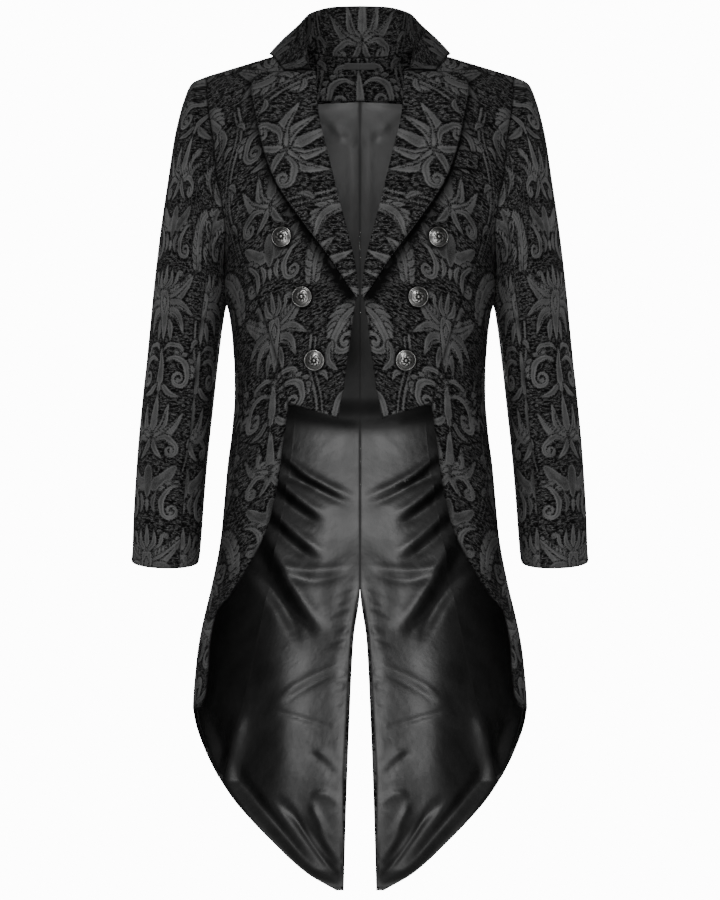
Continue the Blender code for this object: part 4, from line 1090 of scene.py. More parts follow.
# %% [markdown]
# ## Fronts, sides and backs
# The front is short and cut away at the point, the side runs from the armhole down to the skirt's
# curved edge, and the back runs from the neck to the tail. Their pattern is measured from the centre
# front round to the back seam, so it runs on over the princess seam, as on a coat whose cloth was
# matched, and starts again at the centre back.

# %% Rows of knots along the edges
SHOULDER_ROWS = [0.0, 0.0015]
ARMHOLE_FRONT_ROWS = SHOULDER_ROWS + [0.012, 0.042, 0.080, 0.120, 0.160, PRINCESS_DROP]
PRINCESS_ROWS = list(np.linspace(PRINCESS_DROP, HEM_CORNER_DROP, 8))
SKIRT_ROWS = [0.495, 0.540, 0.585, 0.6225, 0.668, 0.708, 0.748, 0.792, 0.825, 0.843,
              0.856, 0.874, 0.905, 0.944]
ARMHOLE_BACK_ROWS = SHOULDER_ROWS + [0.005, 0.010, 0.016, 0.0225, 0.031, 0.080, BACK_SEAM_DROP]
BACK_NECK_ROWS = [(0.078, 0.0), (0.0735, 0.0015), (0.055, 0.0080), (0.030, 0.0185), (0.0, 0.0265),
                  (0.0, 0.0480), (0.0, 0.0770), (0.0, 0.1150), (0.0, 0.1560)]
STITCHED_ROW = 6
BACK_BODY_ROWS, CENTRE_BODY_ROWS = (
    list(np.interp(np.arange(1, 8), [0, 4, 7], [top, 0.330, HEM_CORNER_DROP]))
    for top in (BACK_SEAM_DROP, 0.1560))
TIP_ROWS = [0.979, 1.0069, 1.0346, 1.0623, 1.0870, 1.1040]
FRONT_KNOTS = len(ARMHOLE_FRONT_ROWS) + len(PRINCESS_ROWS) - 2
SIDE_KNOTS = len(PRINCESS_ROWS) + len(SKIRT_ROWS) - 1
BACK_KNOTS = len(BACK_NECK_ROWS) + len(CENTRE_BODY_ROWS) + len(SKIRT_ROWS) + len(TIP_ROWS) - 1

armhole_front = smooth(ARMHOLE_FRONT["drop"], ARMHOLE_FRONT["x"])
armhole_back = smooth(ARMHOLE_BACK["drop"], ARMHOLE_BACK["x"])
princess_seam = smooth(PRINCESS_SEAM["drop"], PRINCESS_SEAM["x"])
back_seam = smooth(BACK_SEAM["drop"], BACK_SEAM["x"])
vent_edge = smooth(VENT_EDGE["drop"], VENT_EDGE["x"])
skirt_edge = smooth(np.concatenate([SKIRT_EDGE["drop"], TAIL_HEM["drop"]]),
                    np.concatenate([angle_at(SKIRT_EDGE["x"], SKIRT_EDGE["drop"]),
                                    angle_at(TAIL_HEM["x"], TAIL_HEM["drop"], back=True)]))


print("knots:", FRONT_KNOTS, SIDE_KNOTS, BACK_KNOTS)


# %% Panels between their edges
def row_reader(values):
    """Reads a list at row numbers that aren't whole."""
    return lambda row: np.interp(row, np.arange(len(values)), values)


def front_outer(row):
    drop = row_reader(ARMHOLE_FRONT_ROWS + PRINCESS_ROWS[1:])(row)
    x = np.where(drop <= PRINCESS_DROP, armhole_front(drop), princess_seam(drop))
    return angle_at(x, drop), drop


def front_inner(row):
    """Down the neck by drop, then along the roll line and the front edge by length."""
    angle, drop = on_front(ROLL_LINE["x"], ROLL_LINE["z"])
    angle[0], drop[0] = angle_at(0.078, 0.0), 0.0
    length = np.pad(np.cumsum(np.hypot(np.diff(ROLL_LINE["x"]), np.diff(ROLL_LINE["z"]))), (1, 0))
    neck = np.interp(SHOULDER_ROWS + [0.012, 0.042], drop[:4], length[:4])
    along = np.concatenate([neck, np.linspace(neck[-1], length[-1], FRONT_KNOTS + 2 - len(neck))[1:]])
    s = np.interp(row, np.arange(FRONT_KNOTS + 1), along)
    return np.interp(s, length, angle), np.interp(s, length, drop)


def side_front(row):
    drop = row_reader(PRINCESS_ROWS + SKIRT_ROWS)(row)
    angle = np.where(drop <= HEM_CORNER_DROP, angle_at(princess_seam(drop), drop), skirt_edge(drop))
    return angle, drop


def side_back(row):
    drop = row_reader([BACK_SEAM_DROP] + BACK_BODY_ROWS + SKIRT_ROWS[:-1] + [HEM_JOIN_DROP])(row)
    return angle_at(back_seam(drop), drop, back=True), drop


def side_top(share):
    """The side's top edge, which is the armhole below the princess seams."""
    front = np.linspace(PRINCESS_DROP, ARMPIT_DROP, 30)
    back = np.linspace(ARMPIT_DROP, BACK_SEAM_DROP, 50)[1:]
    angle = np.concatenate([angle_at(armhole_front(front), front), angle_at(armhole_back(back), back, True)])
    drop = np.concatenate([front, back])
    length = run_along(bare_point(angle, drop))
    return np.interp(share * length[-1], length, angle), np.interp(share * length[-1], length, drop)


def back_inner(row):
    body = [(0.0, d) for d in CENTRE_BODY_ROWS]
    tail = [(float(vent_edge(d)), d) for d in SKIRT_ROWS[:-1] + [HEM_JOIN_DROP] + TIP_ROWS]
    x, drop = np.array(BACK_NECK_ROWS + body + tail).T
    drop_here = row_reader(drop)(row)
    x_here = np.where(drop_here > HEM_CORNER_DROP, vent_edge(drop_here), row_reader(x)(row))
    return angle_at(x_here, drop_here, back=True), drop_here


def back_outer(row):
    body = BACK_BODY_ROWS + SKIRT_ROWS[:-1] + [HEM_JOIN_DROP]
    drop = row_reader(ARMHOLE_BACK_ROWS + body + TIP_ROWS)(row)
    seam = np.where(drop <= BACK_SEAM_DROP, armhole_back(drop), back_seam(drop))
    return np.where(drop > HEM_JOIN_DROP, skirt_edge(drop), angle_at(seam, drop, back=True)), drop


print("tail's tip, outer side:", bare_point(*back_outer(np.array(BACK_KNOTS))).round(3))

# %% Matching the repeat over the front
def phase_for(x, z, tile_x, tile_y, back=False):
    """Moves that bring a place of the tile to a place in the front view."""
    angle, drop = on_front(np.array(x), np.array(z), back)
    across, down = cut_place(angle, drop, back)
    return tile_x - float(across), tile_y - float(down)


FRONT_PHASE = phase_for(0.112, -0.535, 0, 214)
BACK_PHASE = phase_for(0.0, -0.300, 0, 74, back=True)
print("front phase:", np.round(FRONT_PHASE, 1), "back phase:", np.round(BACK_PHASE, 1))


# %% Body panels
FRONT_SPACING, SIDE_SPACING, BACK_SPACING = 0.0015, 0.0021, 0.0023
BODY_CREASES = columns("x0 z0 x1 z1 width depth bend", [
    (0.168, -0.070, 0.150, -0.215, 0.011, -0.0022, 0.010),     # hollow in front of the armhole
    (0.150, -0.240, 0.070, -0.330, 0.014, 0.0016, -0.010),     # drag from armpit to the break
    (0.162, -0.300, 0.085, -0.352, 0.012, -0.0018, -0.008),
    (0.158, -0.352, 0.070, -0.392, 0.010, 0.0015, -0.006),
    (0.160, -0.392, 0.095, -0.424, 0.009, -0.0016, -0.006),
    (0.163, -0.440, 0.120, -0.560, 0.012, -0.0020, 0.010),
    (0.170, -0.500, 0.140, -0.720, 0.014, 0.0026, 0.006),
    (0.192, -0.560, 0.182, -0.800, 0.012, -0.0028, 0.004),
    (0.150, -0.480, 0.118, -0.600, 0.010, 0.0016, 0.004),
])


def painted_lapel_shadow(face):
    """Painted shadow on the front beside the lapel's edge, more so lower down, and round the buttons."""
    share = np.linspace(0, 1, 120)
    line = at_length(share, np.linspace(0, 1, len(LAPEL_EDGE["x"])), np.stack(list(LAPEL_EDGE.values()), -1))
    apart = np.linalg.norm(face[..., None, [0, 2]] - line, axis=-1)
    along = share[apart.argmin(-1)]
    strength, reach = 0.70 + 0.60 * along, 0.006 + 0.010 * along
    shade = np.clip(strength * bell(apart.min(-1), reach), 0, 1)
    for x, z in zip(BUTTONS["x"], BUTTONS["z"]):
        from_rim = np.clip(np.hypot(face[..., 0] - x, face[..., 2] - z) - 0.0125, 0, 1)
        shade = np.maximum(shade, 0.9 * bell(from_rim, 0.0026))
    return shade


def body_panel(name, left, right, knots, spacing, cols, keep, phase, seed, top=None, back=False,
               creases=BODY_CREASES, finishes=(DAMASK, DAMASK), edges=()):
    """A panel between two edges; `keep` are rows to hit and `edges` how much painted shade lies along its
    edges.
    """
    rows = even_rows(left, right, knots, spacing, keep)
    angle, drop = patch(left, right, rows, knots, cols, top)
    across, down = cut_place(angle, drop, back)
    face = bare_point(angle, drop)
    hold = fade_in(face.shape[0], 0.05)[:, None] * fade_in(face.shape[1], 0.12)         # still at the seams
    lift = (creased(face, creases) if creases is not None else 0) + ripple(face, 0.0011, 26, seed)
    lift = lift * hold + (armpit_swell(face, 1) if name == "side" else 0)
    face = lifted(face, lift)
    values = damask_at(across + phase[0], down + phase[1])
    # painted shade along the panel's edges
    shade = painted_edge_shade(face, **dict(edges))
    # painted shadow on the front beside the lapel and round the buttons
    if name == "front":
        shade = np.maximum(shade, painted_lapel_shadow(face))
    cloth_pair(name, face, as_place(across, down, shade), values, finishes=finishes)


body_panel("front", front_inner, front_outer, FRONT_KNOTS, FRONT_SPACING, 98, (3, 7), FRONT_PHASE, 3,
           finishes=(DAMASK, SATIN))
body_panel("side", side_front, side_back, SIDE_KNOTS, SIDE_SPACING, 72, (7,), FRONT_PHASE, 5, side_top,
           edges={"top": 0.7})
body_panel("back", back_inner, back_outer, BACK_KNOTS, BACK_SPACING, 62, (4, 8, 29), BACK_PHASE, 7,
           back=True, creases=None, edges={"left": 0.6})

# %% [markdown]
# ## Sleeves
# A tailored sleeve has two pieces, an upper and a narrower under one, and its head follows the
# armhole. Rings from the cuff up change little by little into the armhole's own outline. The sleeve
# hangs almost straight and breaks a little at the elbow.

# %% The sleeve's surface
def armhole_lines():
    """Front and back of the armhole: shares of its length, and points."""
    drops = ARMPIT_DROP * np.linspace(0, 1, 160) ** 1.5
    lines = []
    for edge, back in ((armhole_front, False), (armhole_back, True)):
        line = bare_point(angle_at(edge(drops), drops, back), drops) + [ARMHOLE_GAP, 0, 0]
        length = run_along(line)
        lines.append((length / length[-1], line))
    return lines


ARMHOLE_LINES = armhole_lines()
SLEEVE_AT = {name: smooth(np.linspace(0, 1, len(SLEEVE["tilt"])), values) for name, values in SLEEVE.items()}


def armhole_loop(turn):
    """Points of the armhole, from the shoulder down its front and up its back again."""
    turn = turn % (2 * np.pi)
    share = np.where(turn <= np.pi, turn, 2 * np.pi - turn) / np.pi
    return np.where((turn <= np.pi)[..., None], *(at_length(share, *edge) for edge in ARMHOLE_LINES))


def sleeve_ring(turn, share):
    at = {name: values(share) for name, values in SLEEVE_AT.items()}
    nought = np.zeros_like(share)
    outer = np.stack([at["outer_x"], nought, at["outer_z"]], -1)
    inner = np.stack([at["inner_x"], nought, at["inner_z"]], -1)
    forward = np.stack([nought, -at["half_depth"], -at["tilt"]], -1)
    across, along = np.cos(turn), np.sin(turn)
    radius = oval_radius(across, along, SLEEVE_POWER)
    centre = (outer + inner) / 2 + np.stack([nought, at["centre_y"], nought], -1)
    return centre + (radius * across)[..., None] * (outer - inner) / 2 + (radius * along)[..., None] * forward


def sleeve_point(turn, share):
    """The sleeve from its head (share 0), where it follows the armhole, to the cuff (share 1)."""
    fade = np.maximum(1 - share / SLEEVE_BLEND, 0) ** 2
    return sleeve_ring(turn, share) + fade[..., None] * (armhole_loop(turn) - sleeve_ring(turn, 0 * share))


print("cuff, outer side:", sleeve_point(np.array(0.0), np.array(1.0)).round(3))


# %% Places round the arm
SLEEVE_OUT = away_from(0.225, 0.0, -0.12)
SLEEVE_DOWN = unit(np.array([0.054, 0.0, -0.540]))
SLEEVE_AXIS_TURN = math.radians(58)         # the pattern's axis, towards the front
SLEEVE_PHASE = 32.0
HEAD_LEVEL, ARM_RADIUS = 0.25, 0.062        # the first full ring below the head, and its radius
TUCKED = ((0.0090, 0.0042), (0.0040, 0.0030), (0.0012, 0.0017))     # towards the neck, towards the arm
SLEEVE_CREASES = columns("x0 z0 x1 z1 width depth bend", [
    (0.208, -0.110, 0.190, -0.270, 0.010, -0.0035, -0.004),    # beside the armhole
    (0.240, -0.060, 0.222, -0.200, 0.013, 0.0022, -0.006),
    (0.195, -0.290, 0.245, -0.262, 0.008, -0.0026, 0.004),
    (0.190, -0.318, 0.262, -0.296, 0.009, 0.0024, 0.005),
    (0.188, -0.342, 0.250, -0.352, 0.008, -0.0028, 0.004),     # the elbow
    (0.192, -0.372, 0.270, -0.384, 0.009, 0.0022, 0.005),
    (0.194, -0.404, 0.250, -0.430, 0.008, -0.0022, 0.004),
    (0.262, -0.330, 0.276, -0.420, 0.009, -0.0020, 0.002),
    (0.205, -0.470, 0.262, -0.520, 0.011, -0.0018, 0.005),
    (0.235, -0.480, 0.250, -0.620, 0.012, 0.0018, 0.003),
])


def tucked_in(face):
    """Three more rows at the head, which pass under the body's edge as the seam's turnings do."""
    inward = unit(np.array([0.0, 0.005, -0.14]) - face[0] * [0, 1, 1])
    rows = [face[0] + inward * depth - [along, 0, 0] for along, depth in TUCKED]
    return np.concatenate([rows, face])


def round_the_arm(face, share, arc):
    """How far round the arm each place lies; at the head this is read from the angle about the arm."""
    at = {name: values(np.linspace(0, 1, 60)) for name, values in SLEEVE_AT.items()}
    x, z = (at["outer_" + k] + at["inner_" + k] for k in "xz")
    middle = np.stack([x, 2 * at["centre_y"], z], -1) / 2
    out = np.array([-SLEEVE_DOWN[2], 0, SLEEVE_DOWN[0]])
    centre_out, centre_y = (np.interp(face @ SLEEVE_DOWN, middle @ SLEEVE_DOWN, values)
                            for values in (middle @ out, middle[:, 1]))
    angle = np.unwrap(np.arctan2(centre_y - face[..., 1], face @ out - centre_out), axis=1)
    level = int(np.argmin(np.abs(share[:, 0] - HEAD_LEVEL)))
    past = angle - np.clip(angle, angle[level].min(), angle[level].max())
    at_head = np.interp(angle, angle[level], arc[level]) + past * ARM_RADIUS
    mix = eased((share - 0.05) / 0.20)
    return mix * arc + (1 - mix) * at_head


print("sleeve creases:", len(SLEEVE_CREASES["width"]))


# %% Sleeve pieces
def sleeve_piece(name, first, last, cols, rows, seed, step):
    """One of the sleeve's two pieces, between two turns round the arm."""
    share = np.linspace(0, 1, rows + 1)[:, None] ** 1.03
    turn = np.linspace(first - 0.001, last + 0.001, cols + 1)[None, :]
    turn, share = np.broadcast_arrays(turn, share)
    face = sleeve_point(turn, share)
    extra = len(TUCKED)
    face, share, turn = tucked_in(face), *(np.concatenate([t[:extra], t]) for t in (share, turn))
    axis = int(round(np.interp(SLEEVE_AXIS_TURN, turn[0], np.arange(cols + 1))))
    arc = run_along(face, 1)
    arc = arc - arc[:, axis:axis + 1]
    if name == "sleeve_upper":
        arc = round_the_arm(face, share, arc)
    across, down = arc * 1000, face @ SLEEVE_DOWN * 1000
    hold = np.clip(share / 0.06, 0, 1) * np.clip((1 - share) / 0.02, 0, 1) * fade_in(cols + 1, 0.04)
    front = np.clip(np.sin(turn) + 0.25, 0, 1)
    lift = creased(face, SLEEVE_CREASES) * front + ripple(face, 0.0012, 30, seed)
    lift = lift * hold + (armpit_swell(face, -1) if name == "sleeve_under" else 0)
    values = damask_at(across, down + SLEEVE_PHASE)
    # painted shade along the sleeve's edges
    shade = painted_edge_shade(face[extra:], 0.8, 0.6, 0.5, 0.5)[np.maximum(np.arange(len(face)) - extra, 0)]
    cloth_pair(name, lifted(face, lift, SLEEVE_OUT), as_place(across, down, shade), values,
               outward=SLEEVE_OUT, finishes=(DAMASK, SATIN), step=step)


sleeve_piece("sleeve_upper", -SLEEVE_SEAM, SLEEVE_SEAM, 140, 326, 11, 6)
sleeve_piece("sleeve_under", SLEEVE_SEAM, 2 * np.pi - SLEEVE_SEAM, 50, 226, 13, 4)

# %% [markdown]
# ## Collar and lapels
# The collar stands, folds over and falls to the shoulder. Its section at each place is a line through
# eight points: up the stand, over the fold and down the leaf. Towards the gorge it opens out flat and
# meets the lapel. The lapel is the front's own facing turned out along the roll line.

# %% The collar's sections
def collar_rail(count):
    """Shares of the half collar from the centre back, each with its seam, fold and leaf's edge."""
    stations = np.linspace(0, 1, len(COLLAR["fold_x"]))
    table = {name: smooth(stations, values) for name, values in COLLAR.items()}
    front_x, front_z = ROLL_LINE["x"][1:4], ROLL_LINE["z"][1:4]
    x = np.concatenate([NECK_BACK["x"], front_x])
    drop = np.concatenate([NECK_BACK["drop"], drop_at(front_x, front_z)])
    angle = np.where(np.arange(len(x)) < len(NECK_BACK["x"]), angle_at(x, drop, True), angle_at(x, drop))
    line = bare_point(angle, drop) + body_normal(angle, np.maximum(drop, 0.002)) * STAND_LIFT
    length = run_along(line)
    neck = [smooth(length / length[-1], axis) for axis in line.T]
    for share in np.linspace(0, 1, count + 1):
        seam = np.array([axis(share) for axis in neck])
        fold = np.array([table["fold_" + k](share) for k in "xyz"])
        leaf_x, leaf_y = float(table["leaf_x"](share)), float(table["leaf_y"](share))
        drop = drop_under(leaf_x, leaf_y)
        angle = angle_at(leaf_x, drop, back=leaf_y > CENTRE_Y(math.sqrt(drop)))
        yield share, seam, fold, body_point(angle, drop, table["leaf_lift"](share))


def collar_profile(seam, fold, leaf):
    """The eight points of a section."""
    stand, fall = fold - seam, leaf - fold
    out = unit(fall - stand * np.dot(fall, stand) / np.dot(stand, stand))
    roll, up = min(COLLAR_ROLL, 0.25 * np.linalg.norm(stand)), unit(stand)
    below = fold - up * roll * 2.2 - out * roll * 0.4
    over = [fold + fall * down + out * roll * bow for down, bow in zip(FALL["down"], FALL["bow"])]
    return np.array([seam, (seam + below) / 2, below, *over, leaf])


def gorge_profile():
    """The collar's end, flat on the front from the roll line to the notch."""
    start = np.array([ROLL_LINE["x"][3], ROLL_LINE["z"][3]])
    places = [(1 - u) * start + u * np.array(NOTCH) + [0, GORGE_GAP] for u in COLLAR_END["across"]]
    x, z = np.array(places).T
    return body_point(*on_front(x, z), COLLAR_END["lift"])


print("collar's end:", gorge_profile()[-1].round(3))


# %% Collar
COLLAR_COUNT, COLLAR_COLS, COLLAR_PHASE = 132, 84, 236.0
FOLD_COL = 40                               # the column of the fold
# the whole collar gets painted shade, so it is darker than the body
COLLAR_SCALE, COLLAR_PAINTED_SHADE = 0.9, 0.28      # the pattern is a little larger and darker than on the body


def make_collar():
    end, half = gorge_profile(), []
    for share, *rail in collar_rail(COLLAR_COUNT):
        flat = min(max((share - COLLAR_FLAT_FROM) / (1 - COLLAR_FLAT_FROM), 0.0), 1.0) ** 2
        profile = collar_profile(*rail)
        opened = end + (1 - flat) * (profile - end)
        half.append(through((1 - flat) * profile + flat * opened, COLLAR_COLS + 1))
    half = np.array(half)
    face = np.concatenate([mirrored(half[:0:-1]), half])
    along = run_along(face[:, FOLD_COL]) * 1000
    along = (along - along[COLLAR_COUNT])[:, None]
    across = run_along(face, 1) * 1000
    values = damask_at(np.broadcast_to(along, across.shape) * COLLAR_SCALE,
                       COLLAR_PHASE - across * COLLAR_SCALE)
    # painted shade along the collar's edges and over all of it
    shade = np.maximum(painted_edge_shade(face, 1.0, 1.0, 0.3, 1.0, 0.0022), COLLAR_PAINTED_SHADE)
    cloth_piece("collar", face, as_place(along, across, shade), values, COLLAR_CLOTH,
                lambda point: point - np.array([0.0, 0.02, -0.60]))


make_collar()


# %% Lapels
LAPEL_LEAN, LAPEL_PHASE, LAPEL_SCALE = math.radians(-62), (64.0, 96.0), 850
LAPEL_LIFT, EDGE_TURN, TURN_WIDTH = 0.0070, 0.0012, 0.0022      # it stands off the chest, its edge turns in
STITCH_INSET = 3


def make_lapels(rows=196, cols=66):
    def line(xs, zs):
        length = np.pad(np.cumsum(np.hypot(np.diff(xs), np.diff(zs))), (1, 0))
        return smooth(length / length[-1], xs), smooth(length / length[-1], zs)

    (rx, rz), (ex, ez) = line(ROLL_LINE["x"][3:10], ROLL_LINE["z"][3:10]), line(*LAPEL_EDGE.values())
    share = np.linspace(0, 1, rows + 1)[:, None]
    knots = np.array([0.0, 0.022, 0.11, 0.28, 0.46, 0.63, 0.79, 1.0])
    w = np.concatenate([[0, 0.007, 0.014], np.linspace(0.022, 1, cols - 2)])[None, :]
    u, up, past, rise = (smooth(knots, values)(w) for values in LAPEL_ACROSS.values())
    x = (1 - u) * rx(share) + u * ex(share) - past
    z = (1 - u) * rz(share) + u * ez(share) + rise * (1 - share) ** 4 - 0.0004 * (1 - share)
    stand_off = LAPEL_LIFT * eased((w - 0.25) / 0.6) * eased(share / 0.12) * eased((1 - share) / 0.25)
    from_edge = (1 - w) * np.hypot(ex(share) - rx(share), ez(share) - rz(share))
    face = body_point(*on_front(x, z), up + stand_off - EDGE_TURN * bell(from_edge, TURN_WIDTH))
    c, s = math.cos(LAPEL_LEAN), math.sin(LAPEL_LEAN)
    across, down = (x * c - z * s) * LAPEL_SCALE, (-x * s - z * c) * LAPEL_SCALE
    values = damask_at(across + LAPEL_PHASE[0], down + LAPEL_PHASE[1])
    # painted shade along the lapel's edges
    place = as_place(x * 1000, -z * 1000, painted_edge_shade(face, 1.0, 0.3, 0.4, 0.9, 0.0018))
    cloth_pair("lapel", face, place, values)
    edge = np.concatenate([face[STITCH_INSET, STITCH_INSET + 1:-STITCH_INSET],
                           face[STITCH_INSET + 1:, -STITCH_INSET]])
    for side, line in (("l", edge), ("r", mirrored(edge))):
        stitch_row(f"lapel_stitches_{side}", line, BODY_OUT)


make_lapels()

# %% [markdown]
# ## Lining, facing and label
# Satin hangs inside the back and the skirts, a little longer than the cloth, so it lies in soft
# diagonal folds and rolls over just inside the hem. Along the vent it is sewn to a strip of the
# damask that is turned in, with small puckers. A strip of the damask faces the neck, with a bare
# ribbon label on it.

# %% Creases of the satin
LINING_EASE, HEM_MARGIN, LINING_HANG, LINING_RIM = 0.0012, 0.008, 0.0065, 0.0001
VENT_TOP_DROP, VENT_FACING = 0.69, 0.005
HANG_ROWS, HEM_ROWS, VENT_COLS = 24, 14, 0.45       # rows, and share of the columns, in which the hang fades
LINING_CREASES = columns("x0 z0 x1 z1 width depth bend", [
    (0.012, -0.050, 0.010, -0.265, 0.008, 0.0008, 0.000),        # the pleat beside the centre seam
    (0.022, -0.056, 0.058, -0.080, 0.007, 0.0018, 0.004),
    (0.052, -0.060, 0.020, -0.100, 0.006, -0.0016, 0.003),
    (0.115, -0.450, -0.02, -0.470, 0.014, -0.0062, 0.000),       # pulled back under the fronts' hem
    (0.156, -0.660, 0.082, -0.770, 0.008, 0.0026, 0.008),
    (0.115, -0.760, 0.110, -1.000, 0.034, -0.0040, 0.010),       # the shaded side of the tail
    (0.124, -0.857, 0.022, -0.888, 0.0030, 0.0008, 0.000),       # a pressed fold
    (0.214, -0.850, 0.165, -0.948, 0.010, 0.0036, 0.000),        # a roll inside the hem
    (0.176, -0.934, 0.066, -1.076, 0.009, 0.0044, 0.000),
    (0.112, -0.980, 0.022, -1.090, 0.007, 0.0030, 0.004),
    (0.064, -0.974, 0.028, -0.986, 0.006, -0.0024, 0.006),
    (0.066, -0.984, 0.036, -1.032, 0.006, -0.0022, -0.004),
    (0.056, -1.012, 0.032, -1.056, 0.005, -0.0018, -0.003),
])
LINING_FOLDS = columns("x0 z0 x1 z1 width depth bend", [         # from the outer end to the inner
    (0.118, -0.512, 0.012, -0.578, 0.0080, 0.0019, -0.006),      # drag from the skirt down to the vent
    (0.112, -0.536, 0.062, -0.556, 0.0060, 0.0008, 0.000),
    (0.122, -0.548, 0.050, -0.604, 0.0110, 0.0026, -0.004),
    (0.134, -0.584, 0.054, -0.654, 0.0110, 0.0026, -0.004),
    (0.110, -0.668, 0.012, -0.668, 0.0090, 0.0013, -0.010),
    (0.138, -0.620, 0.058, -0.756, 0.0150, 0.0036, -0.006),
    (0.108, -0.848, 0.016, -0.802, 0.0065, 0.0010, 0.006),
    (0.066, -0.915, 0.030, -0.946, 0.0070, 0.0014, 0.003),
    (0.090, -0.994, 0.018, -1.090, 0.0045, 0.0010, -0.006),      # a crease line along the roll
])
print("creases of the satin:", [len(table["width"]) for table in (LINING_CREASES, LINING_FOLDS)])


# %% Where the satin is sewn, held and painted with shade
def lining_in(point):
    return -BODY_OUT(point)


def puckered(face, drop):
    """Small puckers where the lining is sewn along the vent."""
    near = bell(np.abs(face[..., 0]) - 0.020, 0.016) * eased((drop - 0.64) / 0.10)
    near = near * eased(np.arange(face.shape[1]) / 4)
    return near * (ripple(face, 0.0010, 330, 3) + ripple(face, 0.0009, 140, 8))


def seam_hold(face):
    """Near the hem the seam between side and back, the last column of both, holds them down."""
    apart = np.linalg.norm(face - face[:, -1:], axis=2)
    low = eased((-0.84 - face[..., 2]) / 0.05)
    return 1 - 0.9 * low * bell(apart, 0.014)


def painted_lining_shade(face):
    """Painted shade on the satin: darker and duller behind the fronts, most of all under their hem, and at
    the tails' tips.
    """
    x, z = np.abs(face[..., 0]), face[..., 2]
    behind = 0.40 * eased((-0.15 - z) / 0.11) * eased((z + 0.50) / 0.05)
    hem = 0.80 * bell(z + 0.455, 0.018)
    tip = 0.20 * eased((-0.985 - z) / 0.05)
    return np.maximum(np.maximum(behind, hem) * eased((0.135 - x) / 0.02), tip)


print("shade under the fronts' hem:", painted_lining_shade(np.array([[[0.05, 0.1, -0.455]]])).round(2))


# %% Satin lining
def lining_panel(name, left, right, knots, first, spacing, cols, margins, back, top=None):
    """A patch of satin; margins are how far it stops from its left edge and from the hem."""
    rows = even_rows(left, right, knots, spacing)
    rows = rows[rows >= first]
    rows[0] = first
    grid = patch(left, right, rows, knots, cols, top)
    if back:        # along the vent the damask is turned in and shows beside the satin
        margins = (VENT_FACING * eased((grid[1][:, 0] - VENT_TOP_DROP) / 0.03), margins[1])
    angle, drop = narrowed(grid, *margins, spacing)
    face = body_point(angle, drop, np.full(angle.shape, -(CLOTH + LINING_EASE + LINING)))
    above_vent = eased((VENT_TOP_DROP - drop[:, :1]) / 0.07) * back
    from_edge = 1 - (1 - above_vent) * 0.85 * (1 - eased(np.arange(cols + 1) / (cols * VENT_COLS)))
    from_hem = eased(np.arange(len(rows))[::-1] / HEM_ROWS)[:, None]
    hang = eased(np.arange(len(rows)) / HANG_ROWS)[:, None] if back else 1.0
    lift = LINING_HANG + creased(face, LINING_CREASES) + creased(face, LINING_FOLDS, stepped=True)
    lift = np.maximum(lift + ripple(face, 0.0016, 14, 21), 0.0) * from_edge * seam_hold(face)
    if back:
        lift = np.maximum(lift + puckered(face, drop), 0.0)
    face = lifted(face, lift * from_hem * hang, lining_in)
    if back:        # the halves meet in the centre seam, down to the vent
        face[:, 0, 0] = np.where(drop[:, 0] < VENT_TOP_DROP, 0.0, face[:, 0, 0])
    # painted shade on the satin at the centre seam, behind the fronts and at the tips
    shade = np.maximum(painted_edge_shade(face, 0.0, 0.0, 0.6 * back, 0.0, 0.0014), painted_lining_shade(face))
    cloth_pair(name, face, as_place(*cut_place(angle, drop, back), shade), no_motif(face), thickness=LINING,
               outward=lining_in, finishes=(SATIN, SATIN), slot="satin", step=3, rim=LINING_RIM)


lining_panel("lining_back", back_inner, back_outer, BACK_KNOTS, STITCHED_ROW, 0.0029, 62, (0.0, HEM_MARGIN),
             True)
lining_panel("lining_side", side_front, side_back, SIDE_KNOTS, 7, 0.0032, 52, (HEM_MARGIN, HEM_MARGIN), False,
             side_top)

# %% Neck facing and label
FACING_EASE, FACING_TOP_X, FACING_BOTTOM_X, FACING_EDGE_Z, FACING_PHASE = 0.0015, 0.066, 0.092, -0.0461, 92
FACING_DEPTH = CLOTH + FACING_EASE + CLOTH
LABEL_HALF_WIDTH, LABEL_HEIGHTS, LABEL_EASE, LABEL_CLOTH = 0.0215, (0.0040, -0.0045), 0.0012, 0.0006


def back_inside(x, z=None, drop=None, depth=0.0):
    """Points inside the back, at a height or at a drop."""
    drop = drop_at(np.abs(x), z) if drop is None else drop
    point = body_point(angle_at(x, drop, True), drop, np.full(np.broadcast(x, drop).shape, -depth))
    return point * np.stack([np.where(x < 0, -1.0, 1.0), np.ones_like(x), np.ones_like(x)], -1)


def make_facing():
    neck_drop = smooth(NECK_BACK["x"], NECK_BACK["drop"])
    side, v = np.meshgrid(np.linspace(-1, 1, 113), np.linspace(0, 1, 45))
    top_x, low_x = np.abs(side) * FACING_TOP_X, np.abs(side) * FACING_BOTTOM_X
    x = (1 - v) * top_x + v * low_x
    drop = (1 - v) * neck_drop(top_x) + v * drop_at(low_x, FACING_EDGE_Z)
    face = back_inside(x * np.sign(side + 1e-9), drop=drop, depth=FACING_DEPTH)
    across, down = face[..., 0] * 1000, -face[..., 2] * 1000
    # painted shade along the facing's stitched lower edge
    place = as_place(across, down, painted_edge_shade(face, 0.0, 1.0, 0.0, 0.0, 0.0020))
    cloth_piece("neck_facing", face, place, damask_at(across, down + FACING_PHASE), outward=lining_in)
    stitch_row("facing_stitches", face[-2], lining_in, 0.0022, 0.0013)


